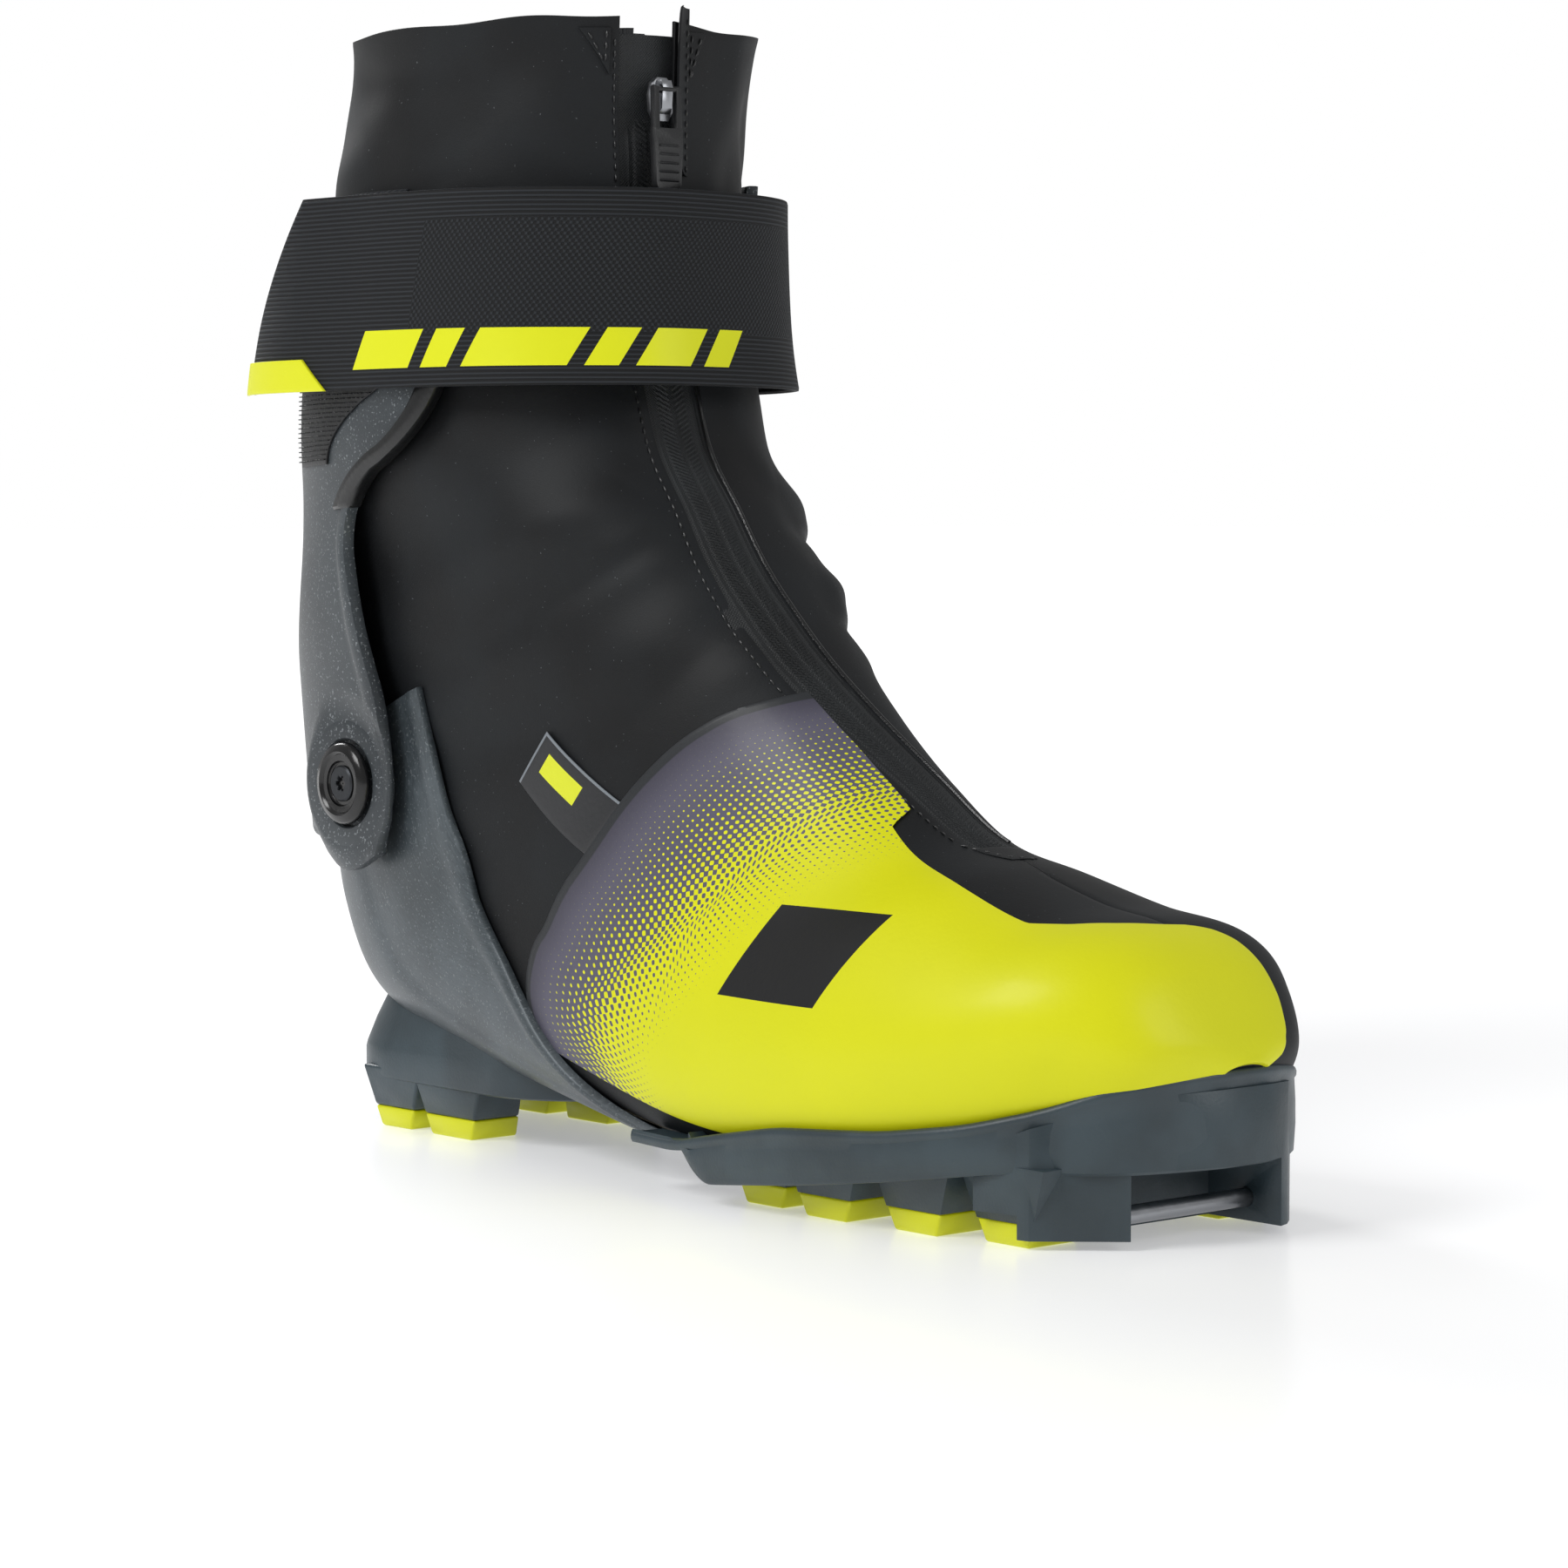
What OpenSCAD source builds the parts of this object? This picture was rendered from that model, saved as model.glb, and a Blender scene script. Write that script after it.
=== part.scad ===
// Cross country boot for skating, right foot, EU 42.
// +X points to the toe, +Y to the inner side of the foot, +Z up. The sole rests on z = 0.
// Every shell piece is laid on one foot-shaped form (the "last"): skin() gives a point of it
// from a station s (0 at the collar, 17 at the toe tip), an angle a round it (0 at the front
// or top line, 180 at the heel or bottom line, plus to the inner side) and an offset outwards.

/* [Upper] */
// Thickness of the softshell fabric
fabric_t = 1.5; // [1.0:0.1:1.7]
// Thickness of the padded liner
liner_t = 2.6; // [1.5:0.1:3.0]
// Width of the zip's coil and tapes
zip_w = 8; // [5:0.5:10]

/* [Shells] */
// Thickness of the carbon chassis
chassis_t = 2.4; // [1.6:0.1:2.6]
// Thickness of the swinging cuff
cuff_t = 2.6; // [2.0:0.1:2.6]
// Height of the ankle pivot above the ground
pivot_z = 86; // [82:1:88]
// Radius of the pivot bush
bush_r = 5; // [4:0.25:6]
// Radial clearance of the cuff on its bush
bush_gap = 0.05; // [0.02:0.01:0.1]
// Diameter of the pivot's outer cap
cap_d = 20; // [16:1:21]

/* [Strap] */
// Height of the strap's lower edge
strap_low = 180; // [176:1:184]
// Width of the strap
strap_w = 46; // [36:1:48]
// Thickness of the strap
strap_t = 1.8; // [1.2:0.1:2.2]

/* [Sole] */
// Height of the lugs above the sole's underside
lug_h = 12; // [9:0.5:13]
// Height of the coloured tips on the lugs
tip_h = 5; // [3:0.5:7]
// Diameter of the steel toe bar
bar_d = 4; // [3.5:0.1:4.5]
// Clear width between the cheeks that hold the toe bar
notch_w = 33; // [30:0.5:35]

/* [Hidden] */
// Moves the form so that the whole boot's box is centred on the origin
centre_x = -0.5;
centre_y = 0.8;

black = [0.11, 0.115, 0.125];
charcoal = [0.17, 0.18, 0.19];
carbon = [0.34, 0.37, 0.39];
slate = [0.24, 0.31, 0.34];
lime = [0.80, 0.86, 0.08];
steel = [0.72, 0.73, 0.74];

// The last, one station a row: front x, front z, back x, back z, half width, shift to the
// inner side, squareness (2 is an ellipse), droop of the sides
last = [
    [-25, 267, -124, 265, 44, 0, 2.2, 0], [-27, 240, -129, 240, 44, 0, 2.2, 0],
    [-28, 215, -135, 215, 45, 0, 2.2, 0], [-26, 190, -139, 190, 46, 0, 2.2, 0],
    [-19, 168, -141, 165, 46, 0, 2.3, 0], [-7, 152, -142, 135, 44, 1, 2.4, 0],
    [4, 139, -142, 105, 41, 1, 2.5, 0], [15, 127, -140, 77, 39, 1, 2.5, 0.04],
    [26, 116, -135, 51, 38, 1, 2.5, 0.08], [39, 104, -120, 31, 37, 1, 2.5, 0.12],
    [54, 92, -84, 21, 37, 1, 2.5, 0.18], [72, 80, -30, 13, 41, 0, 2.5, 0.25],
    [92, 74.5, 20, 8, 46, 0, 2.6, 0.3], [112, 68.5, 62, 9, 47, 1, 2.8, 0.3],
    [128.5, 65, 98, 13, 43.5, 3, 2.9, 0.22], [139.5, 57.5, 121, 19, 34.5, 2.5, 2.9, 0.15],
    [146.5, 44, 137, 26, 24, 3.5, 2.8, 0.08], [148.5, 37, 146, 33, 6, 6, 2, 0]];
toe_s = len(last) - 1;
tip_from = 13;        // from this station on, an offset also pushes the toe forwards
tip_run = 4;

pivot_x = -101;
mid_y = 1;            // the ankle's centre plane
boss_y = 41.6;        // outer face of the chassis boss, from the centre plane
boss_t = 3;
boss_r = 11;
wing_gap = 0.5;       // free play between the chassis boss and the cuff
cuff_boss_y = boss_y + wing_gap;
cuff_boss_t = 3.3;
cuff_boss_r = 16.5;
cap_gap = 0.3;
cap_t = 2;
flange_r = 7.5;
flange_t = 1.2;
thread_r = 2.5;

ankle_top = 3.9;      // the collar's lower seam
ankle_end = 6.3;      // the vamp's upper seam
seam = 0.12;          // gap between fabric panels, in stations
lace_in = -3.5;       // room for the lace between vamp and tongue
liner_out = -3.7;
strap_in = 6.3;       // the strap's inner face outside the last
bar_x = 137;
bar_z = 7;
toe_y = 1.5;          // middle of the toe block and the bar
block_back = 112;
bar_long = 42;        // 4.5 mm of it in each cheek

function smooth(t) = let (c = min(max(t, 0), 1)) c * c * (3 - 2 * c);

function mix(p, q, t) = p + (q - p) * t;

// A Catmull-Rom curve through the rows of a list, at a fractional index
function along(rows, s) = let (
    n = len(rows), i = min(max(floor(s), 0), n - 2), t = s - i,
    p0 = rows[max(i - 1, 0)], p1 = rows[i], p2 = rows[i + 1], p3 = rows[min(i + 2, n - 1)])
    0.5 * (2 * p1 + (p2 - p0) * t + (2 * p0 - 5 * p1 + 4 * p2 - p3) * t * t
        + (3 * p1 - p0 - 3 * p2 + p3) * t * t * t);

// A straight-line reading of a list of [key, value] pairs
function read(pairs, key) = lookup(key, pairs);

function power(v, n) = sign(v) * pow(abs(v), n);

// A point of the last at station s and angle a, moved outwards by off
function skin(s, a, off) = let (
    r = along(last, s), front = [r[0], r[1]], back = [r[2], r[3]],
    axis = (front - back) / 2, d = axis / norm(axis), n = 2 / r[6],
    v = (norm(axis) + off) * (power(cos(a), n) - r[7] * sin(a) * sin(a)),
    p = (front + back) / 2 + d * v)
    [p[0] + off * smooth((s - tip_from) / tip_run), (r[4] + off) * power(sin(a), n) + r[5], p[1]];

// The angle at which the last is y to the side of its front line
function angle_at(s, y) = let (r = along(last, s))
    sign(y) * asin(pow(min(abs(y) / r[4], 1), r[6] / 2));

// The station at which the last's front line is at height z
function station_at(z, s = 0) = along(last, s)[1] <= z || s > 10 ? s : station_at(z, s + 0.05);

// A closed shell on the last. place(u, v) gives [s, a] with u down the last and v round it,
// both from 0 to 1, and swell(s, a) is added to both offsets.
module shell(place, nu, nv, inner, outer, swell = function (s, a) 0) {
    cols = nv + 1;
    layer = (nu + 1) * cols;
    points = [for (off = [inner, outer], i = [0:nu], j = [0:nv])
        let (p = place(i / nu, j / nv)) skin(p[0], p[1], off + swell(p[0], p[1]))];
    function at(k, i, j) = k * layer + i * cols + j;
    function quad(a, b, c, d) = [[a, b, c], [a, c, d]];
    faces = [for (
        i = [0:nu - 1], j = [0:nv - 1],
        q = [quad(at(1, i, j), at(1, i, j + 1), at(1, i + 1, j + 1), at(1, i + 1, j)),
            quad(at(0, i, j), at(0, i + 1, j), at(0, i + 1, j + 1), at(0, i, j + 1))],
        f = q) f];
    ends = [for (j = [0:nv - 1],
        q = [quad(at(0, 0, j), at(0, 0, j + 1), at(1, 0, j + 1), at(1, 0, j)),
            quad(at(0, nu, j), at(1, nu, j), at(1, nu, j + 1), at(0, nu, j + 1))],
        f = q) f];
    sides = [for (i = [0:nu - 1],
        q = [quad(at(0, i, 0), at(1, i, 0), at(1, i + 1, 0), at(0, i + 1, 0)),
            quad(at(0, i, nv), at(0, i + 1, nv), at(1, i + 1, nv), at(1, i, nv))],
        f = q) f];
    polyhedron(points = points, faces = concat(faces, ends, sides));
}

// A shell between two stations, from y1 to y2 to the sides of the front line
module strip(s1, s2, y1, y2, inner, outer, nu, nv = 2) {
    shell(function (u, v) let (s = mix(s1, s2, u)) [s, angle_at(s, zip_y(s) + mix(y1, y2, v))],
        nu, nv, inner, outer);
}

// A closed ring of the last between two stations, open along the zip
module sleeve(s1, s2, inner, outer, nu, nv = 30, slit = 1.5) {
    shell(function (u, v) let (s = mix(s1, s2, u),
        from = angle_at(s, zip_y(s) + slit), to = 360 + angle_at(s, zip_y(s) - slit))
        [s, mix(from, to, v)], nu, nv, inner, outer);
}

// The last as one solid, from station s1 to s2
module last_solid(s1, s2, off, nu, nv = 30) {
    ring = [for (i = [0:nu], j = [0:nv - 1]) skin(mix(s1, s2, i / nu), j * 360 / nv, off)];
    body = [for (i = [0:nu - 1], j = [0:nv - 1]) let (k = (j + 1) % nv)
        each [[i * nv + j, i * nv + k, (i + 1) * nv + k],
            [i * nv + j, (i + 1) * nv + k, (i + 1) * nv + j]]];
    first = [for (j = [1:nv - 2]) [0, j + 1, j]];
    final = [for (j = [1:nv - 2]) nu * nv * [1, 1, 1] + [0, j, j + 1]];
    polyhedron(points = ring, faces = concat(body, first, final));
}

// The zip runs down the middle and drifts to the outer side over the ankle
zip_line = [[0, -10], [1.4, -8.5], [3.4, -6], [4.6, -8], [6, -10], [7.9, -8], [9, -4], [10, 0],
    [11.2, 4], [13, 4]];
zip_end = 11.2;

function zip_y(s) = read(zip_line, s);

// Puts a form's piece into the boot's frame
module placed() {
    translate([centre_x, centre_y, 0]) children();
}

// Something drawn along +Z from the centre plane, turned to both sides of the ankle pivot
module pivot_side(side) {
    translate([pivot_x, mid_y, pivot_z]) rotate([side > 0 ? -90 : 90, 0, 0]) children();
}

// A side-view outline made into a bar across the boot
module across(y1, y2) {
    translate([0, y2, 0]) rotate([90, 0, 0]) linear_extrude(y2 - y1) children();
}

// Lugs: [middle x, length at the ground, outer y at the ground, side]
front_lugs = [for (side = [-1, 1], p = [[46, 12, 39.5], [68.5, 13, 41.5], [94.5, 13, 39.5],
    [118, 13, 35.5]]) [p[0], p[1], toe_y + side * p[2], side]];
heel_lugs = [for (side = [-1, 1], p = [[-105, 12, 28], [-82.5, 16, 28]])
    [p[0], p[1], mid_y + side * p[2], side]];
lug_w = 14;
lug_flare = 4.5;      // how much longer each end is at the lug's top than at the ground
lug_lean = 1.5;

// The part between heights z1 and z2 of a lug that narrows towards the ground
module lug(at, z1, z2) {
    points = [for (z = [z1, z2]) let (
        half = at[1] / 2 + lug_flare * z / lug_h, out = at[2] + at[3] * lug_lean * z / lug_h,
        low = min(out, out - at[3] * lug_w), high = max(out, out - at[3] * lug_w))
        each [[at[0] - half, low, z], [at[0] + half, low, z], [at[0] + half, high, z],
            [at[0] - half, high, z]]];
    polyhedron(points = points, faces = [[0, 1, 2, 3], [7, 6, 5, 4], [0, 4, 5, 1],
        [1, 5, 6, 2], [2, 6, 7, 3], [3, 7, 4, 0]]);
}

// The forefoot's outline from above
sole_from = 11.3;
sole_to = 17;
sole_step = 0.3;
sole_angle = 98;

function outline(s, side) = let (
    p = skin(s, side * sole_angle, 3 - 0.9 * smooth((s - 13.5) / 2))) [p[0], p[1]];

sole_plan = concat([for (s = [sole_from:sole_step:sole_to]) outline(s, -1)],
    [for (s = [sole_from:sole_step:sole_to]) outline(sole_from + sole_to - s, 1)]);
// and its side view: the rim, then the lower edge
sole_side = [[28, 13.5], [40, 16], [62, 20], [92, 22], [112, 25], [127, 29], [139, 34],
    [153, 38], [153, 16], [118, 15], [91, 11], [64, 7.5], [37, 4.5], [31, 9]];

module front_outsole() {
    color(slate) placed() difference() {
        union() {
            intersection() {
                linear_extrude(45) polygon(sole_plan);
                across(-60, 60) polygon(sole_side);
            }
            for (at = front_lugs) lug(at, tip_h, 17);
            across(-22, 26) polygon([[32, 5], [34, 11], [120, 15], [120, 5]]);
            toe_block();
        }
        last_solid(9.5, toe_s, 0.15, 24);
        for (at = front_lugs) lug(at, -1, tip_h);
        translate([bar_x, toe_y, bar_z]) rotate([90, 0, 0])
            cylinder(d = bar_d, h = bar_long, center = true, $fn = 48);
        guide_grooves();
    }
}

// The binding's block under the toe: two cheeks with chamfered outer sides round a notch
module toe_block() {
    wall = notch_w / 2;
    intersection() {
        difference() {
            translate([0, toe_y, 2]) linear_extrude(34) polygon([[block_back, -39.5],
                [bar_x - 11, -37], [bar_x + 3, -22], [bar_x + 8.5, -13], [bar_x + 11.6, -3],
                [bar_x + 12, 10.5], [bar_x + 9, 19.5], [bar_x + 6, 23.5], [bar_x - 3, 32],
                [bar_x - 13, 38], [block_back, 38.5]]);
            translate([0, toe_y, 0]) linear_extrude(16.5) polygon([[bar_x - 11, -wall],
                [bar_x - 3.3, -wall], [bar_x + 5, -wall - 6.5], [bar_x + 30, -wall - 6.5],
                [bar_x + 30, wall], [bar_x - 11, wall]]);
            translate([block_back - 1, -50, -1]) cube([12, 100, 8]);
        }
        across(-60, 60) polygon([[block_back, 2], [bar_x + 14, 2], [bar_x + 14, 33],
            [bar_x + 3, 31.5], [bar_x - 9, 26], [block_back, 20]]);
    }
}

// Two grooves that run on the binding's rails
module guide_grooves() {
    for (y = [-6, 9]) translate([28, y + toe_y - 2, 3]) cube([84, 4, 4]);
}

module front_lug_tips() {
    color(lime) placed() for (at = front_lugs) lug(at, 0, tip_h);
}

// A layer of the heel's base from height z, with its rear end rounded to r
module heel_base(z, h, r) {
    translate([-105, mid_y, z]) cylinder(r = r, h = h, $fn = 48);
    translate([-66, mid_y, z]) cylinder(r = 31, h = h, $fn = 48);
}

module heel_outsole() {
    color(slate) placed() difference() {
        union() {
            for (at = heel_lugs) lug(at, tip_h, lug_h + 3);
            hull() {
                heel_base(lug_h, 7, 30);
                heel_base(lug_h + 20, 1, 24);
            }
        }
        last_solid(7, 12.4, 3.25, 20);
        translate([-90, mid_y - 3, 9]) cube([60, 6, 5]);
    }
}

module heel_lug_tips() {
    color(lime) placed() for (at = heel_lugs) lug(at, 0, tip_h);
}

module toe_bar() {
    color(steel) placed() translate([bar_x, toe_y, bar_z]) rotate([90, 0, 0])
        cylinder(d = bar_d, h = bar_long, center = true, $fn = 48);
}

// Front edge of the carbon chassis: its angle at each station
chassis_edge = [[6.4, 94], [7.6, 92.3], [8.5, 91.2], [9.4, 94.2], [10, 99], [10.4, 105],
    [10.8, 114], [11.5, 130], [12.2, 146]];

module chassis_shell() {
    color(carbon) placed() difference() {
        union() {
            shell(function (u, v) let (s0 = mix(6.75, 6.45, pow(abs(2 * v - 1), 2)),
                s = mix(s0, 12.2, u), a = read(chassis_edge, s)) [s, mix(a, 360 - a, v)],
                20, 24, 0.5, 0.6 + chassis_t);
            for (side = [-1, 1]) pivot_side(side) translate([0, 0, boss_y - boss_t])
                cylinder(r = boss_r, h = boss_t, $fn = 64);
        }
        for (side = [-1, 1]) pivot_side(side) {
            translate([0, 0, 20]) cylinder(r = bush_r, h = 40, $fn = 64);
            translate([0, 0, 20]) cylinder(r = flange_r, h = boss_y - boss_t + flange_t - 20,
                $fn = 64);
        }
    }
}

module lasting_board() {
    color([0.75, 0.72, 0.62]) placed() shell(function (u, v) let (s = mix(9.2, 16, u))
        [s, mix(134, 226, v)], 15, 8, -2.6, 0);
}

module footbed() {
    color([0.45, 0.47, 0.5]) placed() shell(function (u, v) let (s = mix(9.1, 15.6, u))
        [s, mix(122, 238, v)], 13, 8, -9.4, -6.8);
}

// Both halves of a foot-shaped layer, inner and outer side. gap(s) is half the opening along
// a line, middle(s) to the inner side, and under(s) is the angle at which it ends below.
module halves(s1, s2, inner, outer, nu, nv, middle, gap, under) {
    shell(function (u, v) let (s = mix(s1, s2, u))
        [s, mix(angle_at(s, middle(s) + gap(s)), under(s), v)], nu, nv, inner, outer);
    shell(function (u, v) let (s = mix(s1, s2, u))
        [s, mix(-under(s), angle_at(s, middle(s) - gap(s)), v)], nu, nv, inner, outer);
}

module vamp_upper() {
    color(black) placed() halves(ankle_end, toe_s - 0.1, -fabric_t, 0, 24, 18,
        function (s) zip_y(s), function (s) s < zip_end ? 1.5 : 0.1,
        function (s) mix(179.8, 129, smooth((s - 8.2) / 0.8)));
}

module toe_stiffener() {
    color([0.6, 0.6, 0.58]) placed() shell(function (u, v) [mix(14.4, 16.6, u),
        mix(-120, 120, v)], 5, 20, -3.2, -fabric_t - 0.4);
}

// The coloured wrap over the outer forefoot and the toe. The station of its rear edge at each
// angle, then the angles of its upper and lower edges at each station
wrap_rear = [[-99, 10.05], [-92, 9.75], [-85, 9.42], [-75, 9.15], [-64, 8.8], [-56, 8.6],
    [-47, 8.42], [-35, 8.3], [-12, 8.35]];
wrap_top = [[8.3, -12.4], [9.3, -9.8], [10.4, -9], [10.6, -17], [12, -20], [13.15, -21.7],
    [13.5, -16.9], [13.8, -9.6], [14.25, 5.9], [15, 19.4], [15.75, 29.4], [16.4, 50]];
wrap_low = [[8.3, -90], [9.4, -92.5], [10, -97], [10.4, -100], [12, -98], [13, -96], [14, -92],
    [15, -84], [16.3, -75]];

module side_wrap() {
    color(lime) placed() shell(function (u, v) let (
        s = mix(read(wrap_rear, mix(-99, -12, v)), 16.3, u))
        [s, mix(read(wrap_low, s), read(wrap_top, s), v)], 22, 24, 0.55, 1.05);
}

module side_tab() {
    color(charcoal) placed() shell(function (u, v) [7.98 + 1.1 * u - 0.4 * v,
        -80.6 + 5 * u + 9 * v], 3, 3, 0.1, 0.6);
}

module foot_liner() {
    color(charcoal) placed() halves(ankle_end + seam, 15.9, liner_out - liner_t, liner_out, 18, 13,
        function (s) 0, function (s) s < zip_end ? 15 : 0.1, function (s) 179.8);
}

module tongue() {
    color(charcoal) placed() shell(function (u, v) let (s = mix(ankle_end + seam, 11.1, u),
        a = angle_at(s, 14)) [s, mix(-a, a, v)], 9, 6, liner_out - liner_t, liner_out);
}

lace_y = 13;
lace_from = 6.7;
lace_step = 0.62;
lace_count = 7;

// Crossings of the lace over the tongue, one way and then the other
module lace() {
    width = 0.16;
    color([0.85, 0.86, 0.86]) placed() for (k = [0:lace_count - 2])
        shell(function (u, v) let (
            s = lace_from + lace_step * (k + (k % 2 == 0 ? v : 1 - v)) + width * (u - 0.5))
            [s, angle_at(s, mix(-lace_y, lace_y, v))], 1, 6, lace_in, lace_in + 1);
}

module lace_loops() {
    color(black) placed() for (k = [0:lace_count - 1], side = [-1, 1])
        shell(function (u, v) let (s = lace_from + lace_step * k + 0.3 * (u - 0.5))
            [s, angle_at(s, side * (lace_y + 4.5) + 3 * (v - 0.5))], 1, 2, lace_in,
            lace_in + 1.2);
}

module ankle_bellows() {
    color(black) placed() sleeve(ankle_top + seam, ankle_end - seam, -4, 0, 5);
}

module collar() {
    color(black) placed() sleeve(0, ankle_top, -fabric_t, 0, 7);
}

module collar_liner() {
    color(charcoal) placed() sleeve(0.08, ankle_top, liner_out - liner_t, liner_out + 1.8, 6,
        30, 9);
}

module collar_binding() {
    color(charcoal) placed() sleeve(0.01, 0.16, 0.3, 0.9, 1, 30, 13);
}

module storm_flap() {
    color(black) placed() strip(0, 1.35, 4.6, 10, 0.15, 1.2, 4, 3);
}

module zip_chain_upper() {
    color(charcoal) placed() strip(0.1, ankle_top, -zip_w / 2, zip_w / 2, 0.15, 1.3, 9);
}

module zip_chain_ankle() {
    color(charcoal) placed() strip(ankle_top + seam, ankle_end - seam, -zip_w / 2, zip_w / 2,
        0.15, 1.3, 6);
}

module zip_chain_lower() {
    color(charcoal) placed() strip(ankle_end, zip_end, -zip_w / 2, zip_w / 2, 0.15, 1.3, 10);
}

module zip_end_patch() {
    color(black) placed() strip(zip_end + 0.05, zip_end + 0.35, -7, 7, 0.15, 1.1, 2, 4);
}

slider_x = -24.6;
slider_y = -9.2;
slider_z = 247;

module zip_slider() {
    color(steel) placed() translate([slider_x, slider_y, slider_z]) difference() {
        union() {
            across(-3.5, 3.5) polygon([[0, -5], [2, -5], [2, 5], [0, 5]]);
            across(-2, 2) polygon([[1.5, -3], [3.4, -2], [3.4, 4], [1.5, 4.5]]);
        }
        translate([2.8, 0, 2.2]) rotate([90, 0, 0]) cylinder(r = 0.95, h = 12, center = true,
            $fn = 32);
    }
}

module zip_pull() {
    color(charcoal) placed() translate([slider_x + 2.8, slider_y, slider_z + 2.2]) {
        rotate([90, 0, 0]) cylinder(r = 0.8, h = 8, center = true, $fn = 32);
        for (side = [-1, 1]) across(min(side * 2.6, side * 4), max(side * 2.6, side * 4))
            polygon([[-0.8, 0.6], [0.8, 0.6], [1.2, -10], [-0.6, -10]]);
        across(-4, 4) polygon([[-0.6, -9], [1.2, -9], [1.5, -24], [-0.8, -24]]);
    }
}

module heel_tab() {
    color(black) placed() shell(function (u, v) [mix(0.1, 1.1, u), mix(172, 188, v)], 3, 3,
        0.9, 2.4);
}

// How far the cuff stands off the last: close at the shin, clear of the chassis below
function cuff_swell(s) = 2 + 3.9 * smooth((s - 4.2) / 1.6);

// Front edge of the cuff: its angle at each station, with wings at the shin and a slim arm
cuff_edge = [[1.35, 61], [2, 62], [2.8, 65], [3.4, 70], [3.8, 78], [4.1, 88], [4.4, 98],
    [4.8, 103], [5.4, 101], [6, 99.8], [6.5, 98], [7.1, 98], [7.5, 99], [7.9, 101], [8, 105]];
cuff_low = 7.25;      // station of the lower edge behind the heel; the arms reach further down
cuff_arm = 0.77;

module cuff_shell() {
    color(carbon) placed() difference() {
        union() {
            shell(function (u, v) let (
                s0 = 1.35 + 0.3 * smooth(1.4 * v - 0.4),
                s1 = cuff_low + cuff_arm * smooth((0.24 - min(v, 1 - v)) / 0.2),
                s = mix(s0, s1, u), a = read(cuff_edge, s)) [s, mix(a, 360 - a, v)],
                26, 24, 0, cuff_t, function (s, a) cuff_swell(s));
            for (side = [-1, 1]) pivot_side(side) translate([0, 0, cuff_boss_y])
                cylinder(r = cuff_boss_r, h = cuff_boss_t, $fn = 64);
        }
        for (side = [-1, 1]) pivot_side(side) {
            translate([0, 0, 20]) cylinder(r = bush_r + bush_gap, h = 40, $fn = 64);
            translate([0, 0, 20]) cylinder(r = boss_r + 1.5, h = cuff_boss_y - 20, $fn = 64);
            translate([0, 0, cuff_boss_y + cuff_boss_t]) cylinder(r = cap_d / 2 + 0.8, h = 20,
                $fn = 64);
        }
    }
}

module cuff_padding() {
    color(charcoal) placed() shell(function (u, v) [mix(1.75, 3.7, u), mix(84, 276, v)], 5, 16,
        0.3, 1.7);
}

// The moulded lip along the front edges of both wings
module cuff_edge_lip() {
    color(black) placed() for (side = [0, 1])
        shell(function (u, v) let (s = mix(3.1, 6, u), a = read(cuff_edge, s) + mix(1.2, 5, v))
            [s, side == 0 ? a : 360 - read(cuff_edge, s) - mix(5, 1.2, v)],
            14, 1, cuff_t + 0.1, cuff_t + 0.9, function (s, a) cuff_swell(s));
}

module hook_patch() {
    color(black) placed() shell(function (u, v) let (s = mix(1.75, 4.1, u))
        [s, mix(238, 288 - 6 * u - 26 * smooth(2 * u - 1), v)], 7, 6, cuff_t + 0.1, cuff_t + 1.1,
        function (s, a) 2);
}

strap_s1 = station_at(strap_low + strap_w);
strap_s2 = station_at(strap_low);

// The strap stands out in front, where the slider passes under it, and its free end flares
function strap_swell(a) = 1.9 * smooth((cos(a) - 0.1) / 0.6) + 9 * smooth((-a - 88) / 46)
    + 1.7 * exp(-pow((a + 12) / 15, 2));

module strap() {
    color(black) placed() shell(function (u, v) [mix(strap_s1, strap_s2, u),
        mix(-118 - 14 * u, 76, v)], 4, 30, strap_in, strap_in + strap_t,
        function (s, a) strap_swell(a));
}

module strap_tip() {
    color(lime) placed() shell(function (u, v) [mix(mix(strap_s1, strap_s2, 0.74), strap_s2, u),
        mix(-118 - 14 * u, -104 - 4 * u, v)], 2, 5, strap_in + strap_t + 0.3,
        strap_in + strap_t + 1, function (s, a) strap_swell(a));
}

module strap_anchor() {
    color(black) placed() shell(function (u, v) [mix(strap_s1 + 0.1, strap_s2 - 0.1, u),
        mix(78, 104, v)], 3, 5, cuff_t + 2.1, strap_in + strap_t);
}

module strap_rivets() {
    color(steel) placed() for (z = [193, 213]) translate([-80, 51, z]) rotate([-90, 0, 0])
        cylinder(r = 3.5, h = 3.6, $fn = 32);
}

module pivot_bush(side) {
    color(steel) placed() pivot_side(side) difference() {
        union() {
            translate([0, 0, boss_y - boss_t]) cylinder(r = flange_r, h = flange_t, $fn = 64);
            translate([0, 0, boss_y - boss_t]) cylinder(r = bush_r,
                h = boss_t + wing_gap + cuff_boss_t + cap_gap, $fn = 64);
        }
        translate([0, 0, boss_y - boss_t - 1]) cylinder(r = thread_r, h = 20, $fn = 48);
    }
}

module pivot_bush_lateral() {
    pivot_bush(-1);
}

module pivot_bush_medial() {
    pivot_bush(1);
}

cap_y = cuff_boss_y + cuff_boss_t + cap_gap;

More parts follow.
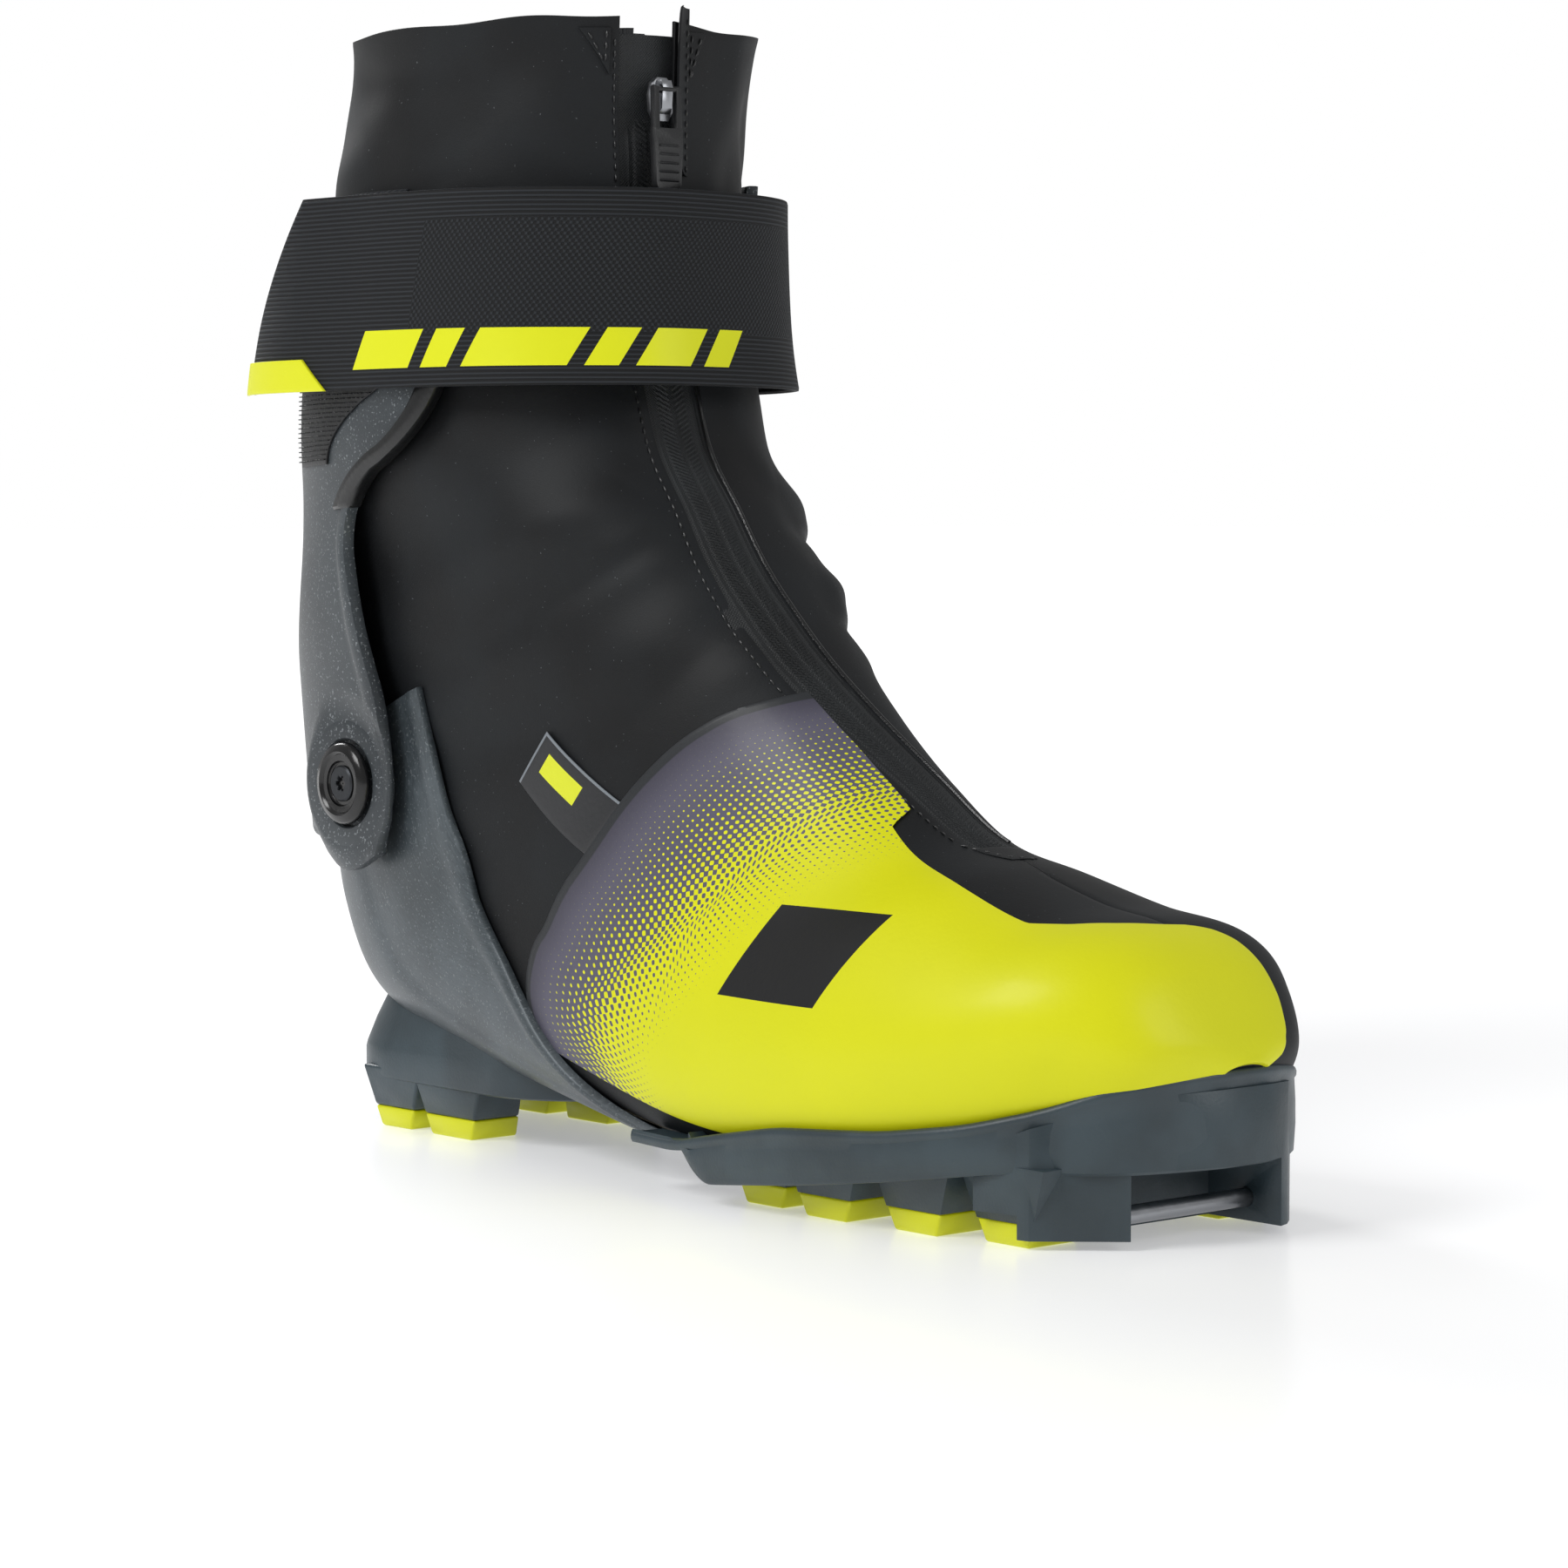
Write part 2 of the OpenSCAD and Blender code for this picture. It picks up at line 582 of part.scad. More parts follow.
// The round cap that keeps the cuff on its bush, with a stepped recess for the screw
module pivot_cap(side) {
    color(black) placed() pivot_side(side) translate([0, 0, cap_y]) difference() {
        cylinder(d = cap_d, h = cap_t, $fn = 96);
        translate([0, 0, -1]) cylinder(r = thread_r, h = 10, $fn = 48);
        translate([0, 0, 0.8]) cylinder(r = 5.2, h = 10, $fn = 64);
        translate([0, 0, 1.5]) cylinder(r = 7, h = 10, $fn = 64);
    }
}

module pivot_cap_lateral() {
    pivot_cap(-1);
}

module pivot_cap_medial() {
    pivot_cap(1);
}

module pivot_screw(side) {
    color(charcoal) placed() pivot_side(side) difference() {
        union() {
            translate([0, 0, boss_y - boss_t]) cylinder(r = thread_r,
                h = cap_y - boss_y + boss_t + 1, $fn = 48);
            translate([0, 0, cap_y + 0.8]) cylinder(r = 4.4, h = 0.9, $fn = 64);
        }
        translate([0, 0, cap_y + 0.2]) cylinder(r = 1.6, h = 5, $fn = 6);
    }
}

module pivot_screw_lateral() {
    pivot_screw(-1);
}

module pivot_screw_medial() {
    pivot_screw(1);
}

front_outsole();
front_lug_tips();
heel_outsole();
heel_lug_tips();
toe_bar();
chassis_shell();
lasting_board();
footbed();
vamp_upper();
toe_stiffener();
side_wrap();
side_tab();
foot_liner();
tongue();
lace();
lace_loops();
ankle_bellows();
collar();
collar_liner();
collar_binding();
storm_flap();
zip_chain_upper();
zip_chain_ankle();
zip_chain_lower();
zip_end_patch();
zip_slider();
zip_pull();
heel_tab();
cuff_shell();
cuff_padding();
cuff_edge_lip();
hook_patch();
strap();
strap_tip();
strap_anchor();
strap_rivets();
pivot_bush_lateral();
pivot_bush_medial();
pivot_cap_lateral();
pivot_cap_medial();
pivot_screw_lateral();
pivot_screw_medial();
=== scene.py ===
from math import cos, pi, radians, sin

import bmesh
import bpy
import numpy as np
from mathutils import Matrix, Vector


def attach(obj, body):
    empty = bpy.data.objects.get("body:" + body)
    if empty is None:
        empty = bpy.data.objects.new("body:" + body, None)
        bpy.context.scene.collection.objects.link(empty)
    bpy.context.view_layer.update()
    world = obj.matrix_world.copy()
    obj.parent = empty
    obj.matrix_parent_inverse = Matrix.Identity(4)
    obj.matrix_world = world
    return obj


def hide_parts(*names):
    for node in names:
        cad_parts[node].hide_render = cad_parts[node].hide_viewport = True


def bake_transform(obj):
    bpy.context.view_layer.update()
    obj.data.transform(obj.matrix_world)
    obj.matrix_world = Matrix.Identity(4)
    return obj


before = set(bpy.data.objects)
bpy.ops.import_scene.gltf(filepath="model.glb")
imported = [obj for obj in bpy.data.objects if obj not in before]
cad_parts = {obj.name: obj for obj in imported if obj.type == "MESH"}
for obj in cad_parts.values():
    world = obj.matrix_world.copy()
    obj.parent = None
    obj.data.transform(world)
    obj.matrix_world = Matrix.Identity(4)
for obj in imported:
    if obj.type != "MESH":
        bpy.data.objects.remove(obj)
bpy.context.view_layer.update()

# ---- Camera, floor and lights ---------------------------------------------------
# A plain studio: the boot stands on a pale floor under a large soft lamp over its outer
# side, a second one in front of the toe and a strip behind, and the camera looks from the
# height of the ankle at the outer side of the toe.
scene = bpy.context.scene
scene.view_settings.view_transform = "Standard"
FORM_CENTRE = Vector((-0.0005, 0.0008, 0.0))      # where part.scad puts the form's own zero
EYE_TURN, EYE_TILT, EYE_AWAY = radians(40.89), radians(1.24), 1.0
eye_back = Vector((cos(EYE_TURN) * cos(EYE_TILT), -sin(EYE_TURN) * cos(EYE_TILT), sin(EYE_TILT)))
eye_right = Vector((sin(EYE_TURN), cos(EYE_TURN), 0))
eye_up = eye_back.cross(eye_right)
camera_data = bpy.data.cameras.new("studio_camera")
camera_data.lens = 99.4
camera_data.sensor_width = 36
camera = bpy.data.objects.new("studio_camera", camera_data)
scene.collection.objects.link(camera)
camera.location = FORM_CENTRE + Vector((0, 0, 0.130)) + eye_back * EYE_AWAY
aim = -eye_back + eye_right * 0.0061 - eye_up * 0.0412
camera.rotation_euler = aim.to_track_quat("-Z", "Y").to_euler()
scene.camera = camera


def lamp(name, place, target, size, power):
    """A square soft box, square metres of light turned towards a target."""
    data = bpy.data.lights.new(name, "AREA")
    data.shape, data.size, data.energy = "SQUARE", size, power
    box = bpy.data.objects.new(name, data)
    scene.collection.objects.link(box)
    box.location = place
    box.rotation_euler = (Vector(target) - Vector(place)).to_track_quat("-Z", "Y").to_euler()


lamp("key_soft_box", (-0.15, -1.2, 1.15), (-0.02, 0, 0.10), 0.7, 13)
lamp("toe_soft_box", (1.5, 0.45, 0.8), (0.02, 0, 0.10), 0.7, 5)
lamp("back_strip", (-1.2, 0.2, 0.9), (-0.05, 0, 0.14), 0.5, 10)


class Wire:
    """A shader socket that Python arithmetic works on: every operator adds its Math node."""

    def __init__(self, finish, socket):
        self.finish = finish
        self.socket = socket

    def math(self, operation, *values):
        return self.finish.node("ShaderNodeMath", {"operation": operation}, *values)

    def __add__(self, other):
        return self.math("ADD", self, other)

    def __sub__(self, other):
        return self.math("SUBTRACT", self, other)

    def __rsub__(self, other):
        return self.math("SUBTRACT", other, self)

    def __mul__(self, other):
        return self.math("MULTIPLY", self, other)

    def __lt__(self, other):
        return self.math("LESS_THAN", self, other)

    def __gt__(self, other):
        return self.math("GREATER_THAN", self, other)

    __radd__ = __add__

    def sine(self):
        return self.math("SINE", self)

    def absolute(self):
        return self.math("ABSOLUTE", self)

    def most(self, other):
        return self.math("MAXIMUM", self, other)

    def step(self, low, high):
        """0 below low, 1 above high, and a soft ramp between."""
        settings = {"interpolation_type": "SMOOTHSTEP"}
        return self.finish.node("ShaderNodeMapRange", settings, self, low, high)


class Finish:
    """A procedural material: its nodes are added by node() and set on the shader by paint()."""

    def __init__(self, name, **plain):
        self.material = bpy.data.materials.new(name)
        self.material.use_nodes = True
        self.tree = self.material.node_tree
        self.shader = self.tree.nodes["Principled BSDF"]
        self.paint(**plain)

    def put(self, socket, value):
        if isinstance(value, Wire):
            self.tree.links.new(value.socket, socket)
        elif hasattr(socket.default_value, "__len__") and len(socket.default_value) == 4:
            socket.default_value = (*value[:3], 1.0)
        else:
            socket.default_value = value

    def node(self, kind, settings=None, *values, out=0, **named):
        """One output of a new node, its inputs filled in order and then by name."""
        made = self.tree.nodes.new(kind)
        for key, value in (settings or {}).items():
            setattr(made, key, value)
        for socket, value in zip(made.inputs, values):
            self.put(socket, value)
        for key, value in named.items():
            self.put(made.inputs[key.replace("_", " ")], value)
        return Wire(self, made.outputs[out])

    def paint(self, **values):
        for key, value in values.items():
            self.put(self.shader.inputs[key.replace("_", " ")], value)
        return self

    def between(self, first, second, share):
        """A mix of two colours: the first at 0, the second at 1."""
        made = self.tree.nodes.new("ShaderNodeMix")
        made.data_type = "RGBA"
        for index, value in ((0, share), (6, first), (7, second)):
            self.put(made.inputs[index], value)
        return Wire(self, made.outputs[2])

    def place(self):
        """The point in the boot's own frame, in metres."""
        return self.node("ShaderNodeTexCoord", out=3)

    def split(self, vector):
        """The three parts of a vector."""
        parts = self.tree.nodes.new("ShaderNodeSeparateXYZ")
        self.put(parts.inputs[0], vector)
        return [Wire(self, part) for part in parts.outputs]

    def cloth(self):
        """Distances over the piece's surface in metres: across it and down it."""
        return self.split(self.node("ShaderNodeTexCoord", out=2))[:2]

    def printed(self):
        """Distances from a film's rear edge and from its top edge, as set_print stores them."""
        return self.split(self.node("ShaderNodeAttribute", {"attribute_name": "print"}, out=1))[:2]

    def noise(self, scale, detail=3.0, rough=0.5, at=None):
        return self.node("ShaderNodeTexNoise", None, Vector=at or self.place(), Scale=scale,
                         Detail=detail, Roughness=rough)

    def bump(self, height, depth, strength=1.0):
        """A bump of this depth in metres, fed to the shader's Normal."""
        self.paint(Normal=self.node("ShaderNodeBump", None, Strength=strength, Distance=depth,
                                    Height=height))


def rgb(red, green, blue):
    """A colour given as 0 to 255 on screen, as the linear value that shaders take."""
    return tuple((c / 255 / 12.92) if c <= 10 else ((c / 255 + 0.055) / 1.055) ** 2.4
                 for c in (red, green, blue))


WHITE = (1.0, 1.0, 1.0)
floor_finish = Finish("pale_floor", Roughness=0.24, Specular_IOR_Level=0.22)
far = floor_finish.node("ShaderNodeVectorMath", {"operation": "LENGTH"}, floor_finish.place(),
                        out=1).step(0.25, 1.3)
floor_finish.paint(Base_Color=floor_finish.between((0.86, 0.865, 0.87), (0, 0, 0), far))
floor_finish.paint(Emission_Color=floor_finish.between((0.34, 0.34, 0.345), WHITE, far))
floor_finish.paint(Emission_Strength=1.0)
bpy.ops.mesh.primitive_plane_add(size=60)
floor = bpy.context.object
floor.name = "studio_floor"
floor.data.materials.append(floor_finish.material)

world = bpy.data.worlds.new("studio_world")
scene.world = world
world.use_nodes = True
sky = world.node_tree
ray = sky.nodes.new("ShaderNodeLightPath")
add_seen = sky.nodes.new("ShaderNodeMath")
add_seen.operation = "MAXIMUM"
sky.links.new(ray.outputs["Is Camera Ray"], add_seen.inputs[0])
sky.links.new(ray.outputs["Is Transmission Ray"], add_seen.inputs[1])
strength = sky.nodes.new("ShaderNodeMapRange")
strength.inputs["To Min"].default_value = 0.42
strength.inputs["To Max"].default_value = 1.0
sky.links.new(add_seen.outputs[0], strength.inputs["Value"])
sky.nodes["Background"].inputs["Color"].default_value = (*WHITE, 1.0)
sky.links.new(strength.outputs[0], sky.nodes["Background"].inputs["Strength"])

# ---- Softshell gaiter -------------------------------------------------------------
# One skin of laminated softshell from the collar to the toe, lasted over the foot and
# stitched to the zip along its front. It creases where the ankle bends, and its rim is
# turned in and waves a little.
LAST = np.array([   # front x, front z, back x, back z, half width, shift, squareness, droop
    [-25, 267, -124, 265, 44, 0, 2.2, 0], [-27, 240, -129, 240, 44, 0, 2.2, 0],
    [-28, 215, -135, 215, 45, 0, 2.2, 0], [-26, 190, -139, 190, 46, 0, 2.2, 0],
    [-19, 168, -141, 165, 46, 0, 2.3, 0], [-7, 152, -142, 135, 44, 1, 2.4, 0],
    [4, 139, -142, 105, 41, 1, 2.5, 0], [15, 127, -140, 77, 39, 1, 2.5, 0.04],
    [26, 116, -135, 51, 38, 1, 2.5, 0.08], [39, 104, -120, 31, 37, 1, 2.5, 0.12],
    [54, 92, -84, 21, 37, 1, 2.5, 0.18], [72, 80, -30, 13, 41, 0, 2.5, 0.25],
    [92, 74.5, 20, 8, 46, 0, 2.6, 0.3], [112, 68.5, 62, 9, 47, 1, 2.8, 0.3],
    [128.5, 65, 98, 13, 43.5, 3, 2.9, 0.22], [139.5, 57.5, 121, 19, 34.5, 2.5, 2.9, 0.15],
    [146.5, 44, 137, 26, 24, 3.5, 2.8, 0.08], [148.5, 37, 146, 33, 6, 6, 2, 0]])
TOE = len(LAST) - 1
MM = 0.001


def smooth(t):
    """0 to 1 with a soft start and end."""
    c = np.clip(t, 0, 1)
    return c * c * (3 - 2 * c)


def rows_at(s):
    """The last's row at a station, on a Catmull-Rom curve through the rows."""
    i = np.clip(np.floor(s).astype(int), 0, TOE - 1)
    t = (s - i)[..., None]
    p0, p1 = LAST[np.maximum(i - 1, 0)], LAST[i]
    p2, p3 = LAST[i + 1], LAST[np.minimum(i + 2, TOE)]
    return 0.5 * (2 * p1 + (p2 - p0) * t + (2 * p0 - 5 * p1 + 4 * p2 - p3) * t ** 2
                  + (3 * p1 - p0 - 3 * p2 + p3) * t ** 3)


def skin(s, a, off):
    """Points of the last at station s and angle a in degrees, moved out by off millimetres."""
    s, a, off = np.broadcast_arrays(*(np.asarray(x, float) for x in (s, a, off)))
    row = rows_at(s)
    front, back = row[..., 0:2], row[..., 2:4]
    axis = (front - back) / 2
    length = np.linalg.norm(axis, axis=-1)
    power = 2 / row[..., 6]
    c, w = np.cos(np.radians(a)), np.sin(np.radians(a))
    v = (length + off) * (np.sign(c) * np.abs(c) ** power - row[..., 7] * w * w)
    x, z = ((front + back) / 2 + axis / length[..., None] * v[..., None]).T
    y = (row[..., 4] + off) * np.sign(w) * np.abs(w) ** power + row[..., 5]
    x = x.T + off * smooth((s - 13) / 4)
    return np.stack([x, y, z.T], -1) * MM + np.array(FORM_CENTRE)


def angle_at(s, y):
    """The angle at which the last is y millimetres to the side of its front line."""
    row = rows_at(np.asarray(s, float))
    share = np.clip(np.abs(y) / row[..., 4], 0, 1)
    return np.sign(y) * np.degrees(np.arcsin(share ** (row[..., 6] / 2)))


def read(pairs, x):
    """A straight-line reading of (place, value) pairs."""
    places, values = zip(*pairs)
    return np.interp(x, places, values)


ZIP_LINE = ((0, -10), (1.4, -8.5), (3.4, -6), (4.6, -8), (6, -10), (7.9, -8), (9, -4), (10, 0),
            (11.2, 4), (13, 4))


def zip_y(s):
    """How far the zip's middle lies to the inner side of the front line, softly bent."""
    return sum(read(ZIP_LINE, s + d) for d in (-0.4, -0.2, 0, 0.2, 0.4)) / 5


def add_mesh(name, points, faces, finish, uv=None, sharp=38):
    """An object of points and faces, smooth but for edges sharper than an angle."""
    mesh = bpy.data.meshes.new(name)
    mesh.from_pydata(np.asarray(points).tolist(), [], faces)
    if uv is not None:
        corners = np.zeros(len(mesh.loops), np.int32)
        mesh.loops.foreach_get("vertex_index", corners)
        layer = mesh.uv_layers.new(name="cloth")
        layer.data.foreach_set("uv", np.asarray(uv, np.float32)[corners].ravel())
    mesh.polygons.foreach_set("use_smooth", [True] * len(mesh.polygons))
    mesh.set_sharp_from_angle(angle=radians(sharp))
    mesh.materials.append(finish.material)
    piece = bpy.data.objects.new(name, mesh)
    scene.collection.objects.link(piece)
    return piece


def lengths(points, axis):
    """Running length along one axis of a grid of points."""
    steps = np.linalg.norm(np.diff(points, axis=axis), axis=-1)
    start = np.zeros_like(np.take(steps, [0], axis))
    return np.cumsum(np.concatenate([start, steps], axis), axis)


def sheet(name, place, rows, cols, inner, outer, finish, relief=None, under=None, soft=0.25):
    """A closed shell on the last. place(u, v) gives station and angle, u down and v round;
    relief(s, a, u, v) is added outside and under inside; soft rounds the cut edges."""
    u = edge_steps(rows)[:, None]
    v = edge_steps(cols)[None, :]
    s, a = np.broadcast_arrays(*place(u, v))
    uu, vv = np.broadcast_arrays(u, v)
    high = outer + (relief(s, a, uu, vv) if relief else 0) + 0 * s
    low = inner + (under(s, a, uu, vv) if under else 0) + 0 * s
    rim = np.zeros_like(s)
    rim[[0, -1], :] = 1
    rim[:, [0, -1]] = 1
    rim[1, 1:-1] = rim[-2, 1:-1] = rim[1:-1, 1] = rim[1:-1, -2] = 0.3
    high, low = high - rim * soft * (high - low), low + rim * soft * (high - low)
    top, base = skin(s, a, high), skin(s, a, low)
    middle = top[:, top.shape[1] // 2:top.shape[1] // 2 + 1]
    across = lengths(top, 1)
    uv = np.stack([across - across[:, across.shape[1] // 2][:, None],
                   np.broadcast_to(lengths(middle, 0), s.shape)], -1)
    faces = shell_faces(*s.shape)
    return add_mesh(name, np.concatenate([top.reshape(-1, 3), base.reshape(-1, 3)]), faces,
                    finish, np.concatenate([uv.reshape(-1, 2)] * 2))


def edge_steps(count):
    """Even steps from 0 to 1 with one close step at each end, for a rounded edge."""
    inside = np.linspace(0, 1, count + 1)
    near = 0.12 / count
    return np.concatenate([[0, near], inside[1:-1], [1 - near, 1]])


def shell_faces(n, m):
    """Faces of a closed shell of two grids of n by m points, outer one first."""
    index = np.arange(n * m).reshape(n, m)

    def quads(p, q, r, t):
        return np.stack([p, q, r, t], -1).reshape(-1, 4)

    top = quads(index[:-1, :-1], index[1:, :-1], index[1:, 1:], index[:-1, 1:])
    walls = []
    for line, flip in ((index[0], 0), (index[-1], 1), (index[:, 0], 1), (index[:, -1], 0)):
        wall = quads(line[:-1], line[1:], line[1:] + n * m, line[:-1] + n * m)
        walls.append(wall[:, ::-1] if flip else wall)
    return np.concatenate([top, top[:, ::-1] + n * m, *walls]).tolist()


WAVES = ((0.55, 1.9, 3.0, 0.4), (0.4, 3.1, -4.0, 1.3), (0.25, 5.2, 7.0, 2.2))


def slow_waves(s, a):
    """A smooth field on the last: a sum of waves (size, turns down, turns round, phase)."""
    return sum(k * np.sin(ds * s + da * np.radians(a) + phase) for k, ds, da, phase in WAVES)


def fold(s, a, start, end, width, height):
    """A soft ridge, or a furrow if height is negative, between two (station, angle) points."""
    scale = 40.0                               # degrees round that are as far as one station
    p = np.stack([s - start[0], (a - start[1]) / scale], -1)
    d = np.array([end[0] - start[0], (end[1] - start[1]) / scale])
    along = np.clip(p @ d / (d @ d), 0, 1)
    away = np.linalg.norm(p - along[..., None] * d, axis=-1)
    fade = np.sin(np.pi * np.clip(along, 0.03, 0.97)) ** 0.6
    return height * fade * np.exp(-(away / width) ** 2)


ANKLE_FOLDS = (   # start, end, width, height: bulges and furrows where the ankle bends
    ((4.5, 20), (5.2, 100), 0.32, 2.2), ((5.25, 15), (5.9, 95), 0.16, -1.8),
    ((6.1, 14), (6.5, 90), 0.36, 2.4), ((7.0, 12), (7.3, 75), 0.18, -1.4),
    ((7.6, 12), (8.0, 70), 0.34, 1.5), ((4.6, -25), (5.6, -95), 0.3, 1.2),
    ((5.3, -20), (6.4, -85), 0.18, -1.1), ((6.1, -22), (7.6, -80), 0.4, 1.2),
    ((7.2, -25), (8.2, -60), 0.2, -0.7), ((1.0, -60), (2.0, -20), 0.25, -0.8),
    ((0.2, -100), (1.5, -75), 0.3, 1.0), ((0.4, 55), (2.6, 45), 0.22, -1.2),
    ((0.2, 75), (1.6, 68), 0.25, 1.4), ((0.5, -130), (0.6, -60), 0.22, -1.3),
    ((1.3, -140), (1.3, -70), 0.4, 1.5), ((0.6, 30), (1.5, 44), 0.12, -1.0))


def softshell_relief(s, a, *rest):
    """How the softshell stands off the last: folds at the ankle, waves, a flared rim."""
    turned = (a + 180) % 360 - 180
    folds = sum(fold(s, turned, *f) for f in ANKLE_FOLDS)
    loose = smooth((9.2 - s) / 2.2)
    near_zip = smooth((np.abs(turned) - 9) / 14)
    flare = 1.6 * np.exp(-s / 0.3) * (1 + 0.8 * np.sin(3 * np.radians(a) + 0.6))
    return loose * near_zip * (folds + slow_waves(s, turned)) + flare * near_zip


def rim_station(a):
    """The collar's wavy rim, in stations below the last's top."""
    turn = np.radians(a)
    corner = 0.12 * np.exp(-(((a + 180) % 360 - 180 - 52) / 16) ** 2)
    return (0.10 + 0.05 * np.sin(2 * turn + 0.9) + 0.05 * np.sin(3 * turn - 0.6)
            + 0.02 * np.sin(9 * turn) - corner)


def softshell_finish():
    """Matte laminated fabric, charcoal black, with a fine grain and soft scuffs."""
    f = Finish("softshell_fabric", Specular_IOR_Level=0.26)
    cloud = f.noise(26, 4)
    colour = f.between(rgb(13, 14, 16), rgb(22, 25, 28), cloud.step(0.35, 0.7))
    lint = f.noise(1500, 1).step(0.765, 0.80)
    f.paint(Base_Color=f.between(colour, rgb(120, 124, 128), lint * 0.35))
    f.paint(Roughness=0.48 + cloud * 0.16)
    f.bump(f.noise(2600, 2, 0.6) + f.noise(420, 2) * 0.8, 0.00006, 0.6)
    return f


softshell = softshell_finish()
SLIT = 6.4                      # half width of the opening that the zip shows in
ZIP_END = 11.2
UNDER_ANGLE = 129               # where the fabric ends under the foot


def gaiter_half(name, side):
    """The outer or inner half, joined at the back of the heel and over the toe."""
    def place(u, v):
        s = u * (TOE - 0.02)
        half = SLIT + (1.3 * smooth((2.2 - s) / 0.9) if side < 0 else 0)
        open_y = half * smooth((ZIP_END + 0.25 - s) * 4) + 0.02
        near = angle_at(s, zip_y(s) * smooth((ZIP_END + 1.2 - s) / 1.2) + side * open_y)
        far = side * (180 - (180 - UNDER_ANGLE) * smooth((s - 8.2) / 0.8))
        a = near + (far - near) * v if side > 0 else far + (near - far) * v
        return s + rim_station(a) * np.exp(-s / 0.8), a
    return sheet(name, place, 300, 150, -1.5, 0.0, softshell, softshell_relief,
                 softshell_relief)


def across_ankle(piece):
    """Bakes a piece's placement into its points; the piece is not bent and not attached to the boot
    or the cuff.
    """
    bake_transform(piece)


for side, name, nodes in ((-1, "softshell_outer_half", ("vamp_upper", "collar")),
                          (1, "softshell_inner_half", ("ankle_bellows",))):
    half = gaiter_half(name, side)
    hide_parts(*nodes)
    across_ankle(half)

# ---- Inner boot --------------------------------------------------------------------
# A knitted, foam-backed sock inside the gaiter, with a stitched throat for the tongue. Its
# rim is bound and shows inside the collar.
def liner_finish():
    f = Finish("liner_knit", Roughness=0.85, Specular_IOR_Level=0.2)
    x, y = f.cloth()
    ribs = (x * (2 * pi / 0.0024)).sine() * (y * (2 * pi / 0.0018)).sine()
    f.paint(Base_Color=f.between(rgb(34, 36, 39), rgb(58, 61, 65), ribs.step(-0.6, 0.9)))
    f.bump(ribs, 0.0002)
    return f


liner_knit = liner_finish()


def liner_place(u, v):
    s = 0.22 + u * 16.1
    gap = 9 + 6 * smooth((s - 3) / 3)
    near = angle_at(s, gap * smooth((11.6 - s) * 3))
    return s, near + (360 - 2 * near) * v


liner = sheet("inner_boot", liner_place, 110, 120, -6.3, -3.7, liner_knit, soft=0.45)
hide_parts("foot_liner", "collar_liner")
across_ankle(liner)

tongue = sheet("tongue", lambda u, v: (6.45 + 4.6 * u, angle_at(6.45 + 4.6 * u, 14.0) * (2 * v - 1)),
               50, 30, -6.3, -3.8, liner_knit, soft=0.45)
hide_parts("tongue")
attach(tongue, "boot")

binding_finish = Finish("rim_tape", Base_Color=rgb(30, 32, 35), Roughness=0.7)
bx, by = binding_finish.cloth()
binding_finish.bump((bx * (2 * pi / 0.0009)).sine(), 0.00015)
rim_tape = sheet("collar_rim_tape",
                 lambda u, v: (0.13 + 0.1 * u + rim_station(16 + 328 * v), 16 + 328 * v),
                 6, 160, -3.6, -1.6, binding_finish, softshell_relief, softshell_relief)
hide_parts("collar_binding")
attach(rim_tape, "cuff")

# ---- Zip ---------------------------------------------------------------------------
# A reversed coil zip behind a welded film: two rows of fine ridges show through the tape.
# A cord piping runs down its inner side, and the outer side is closed by a line of stitches.
COIL_PITCH = 1.45
ZIP_WIDE, ZIP_LONG = 17, 300    # width of the two tapes together, and their length


def zip_finish():
    f = Finish("zip_tape", Roughness=0.5, Specular_IOR_Level=0.4)
    x, y = f.cloth()
    weave = (x * (2 * pi / 0.0007)).sine() * (y * (2 * pi / 0.0007)).sine()
    f.paint(Base_Color=f.between(rgb(22, 24, 26), rgb(32, 35, 37), f.noise(60).step(0.3, 0.7)))
    f.bump(weave, 0.00006)
    return f


def coil_relief(s, a, u, v):
    """Two rows of ridges either side of the zip's middle line, deeper behind the slider."""
    length = ZIP_LONG * u
    y = (v - 0.5) * ZIP_WIDE
    row = smooth((np.abs(y) - 0.35) / 0.5) * smooth((4.3 - np.abs(y)) / 0.6)
    ridge = 0.5 + 0.5 * np.cos(2 * np.pi * (length + 0.7 * np.abs(y)) / COIL_PITCH)
    hem = 0.28 * np.exp(-((np.abs(y) - 5.3) / 0.35) ** 2)
    return row * (0.18 + 0.34 * ridge) + hem - 1.6 * smooth((1.25 - s) / 0.5)


def zip_place(u, v):
    s = 0.25 + u * (ZIP_END - 0.2)
    return s, angle_at(s, zip_y(s) + (v - 0.5) * ZIP_WIDE)


zip_tape = sheet("zip_tape", zip_place, 830, 44, -1.1, -0.35, zip_finish(), coil_relief)
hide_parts("zip_chain_upper", "zip_chain_ankle", "zip_chain_lower")
across_ankle(zip_tape)


def line_on(places, off, step=0.0006):
    """A line on the last through (station, y) places, as points one step apart and their
    outward directions."""
    s_all = np.linspace(places[0][0], places[-1][0], 1500)
    y_all = read(places, s_all)
    a_all = angle_at(s_all, y_all)
    level = off + softshell_relief(s_all, a_all)
    return resample(skin(s_all, a_all, level), skin(s_all, a_all, level + 1), step)


def resample(points, above, step):
    """Points one step apart along a line, with their outward directions."""
    run = lengths(points, 0)
    at = np.arange(0, run[-1], step)
    p = np.stack([np.interp(at, run, points[:, k]) for k in range(3)], -1)
    q = np.stack([np.interp(at, run, above[:, k]) for k in range(3)], -1)
    out = q - p
    return p, out / np.linalg.norm(out, axis=1)[:, None]


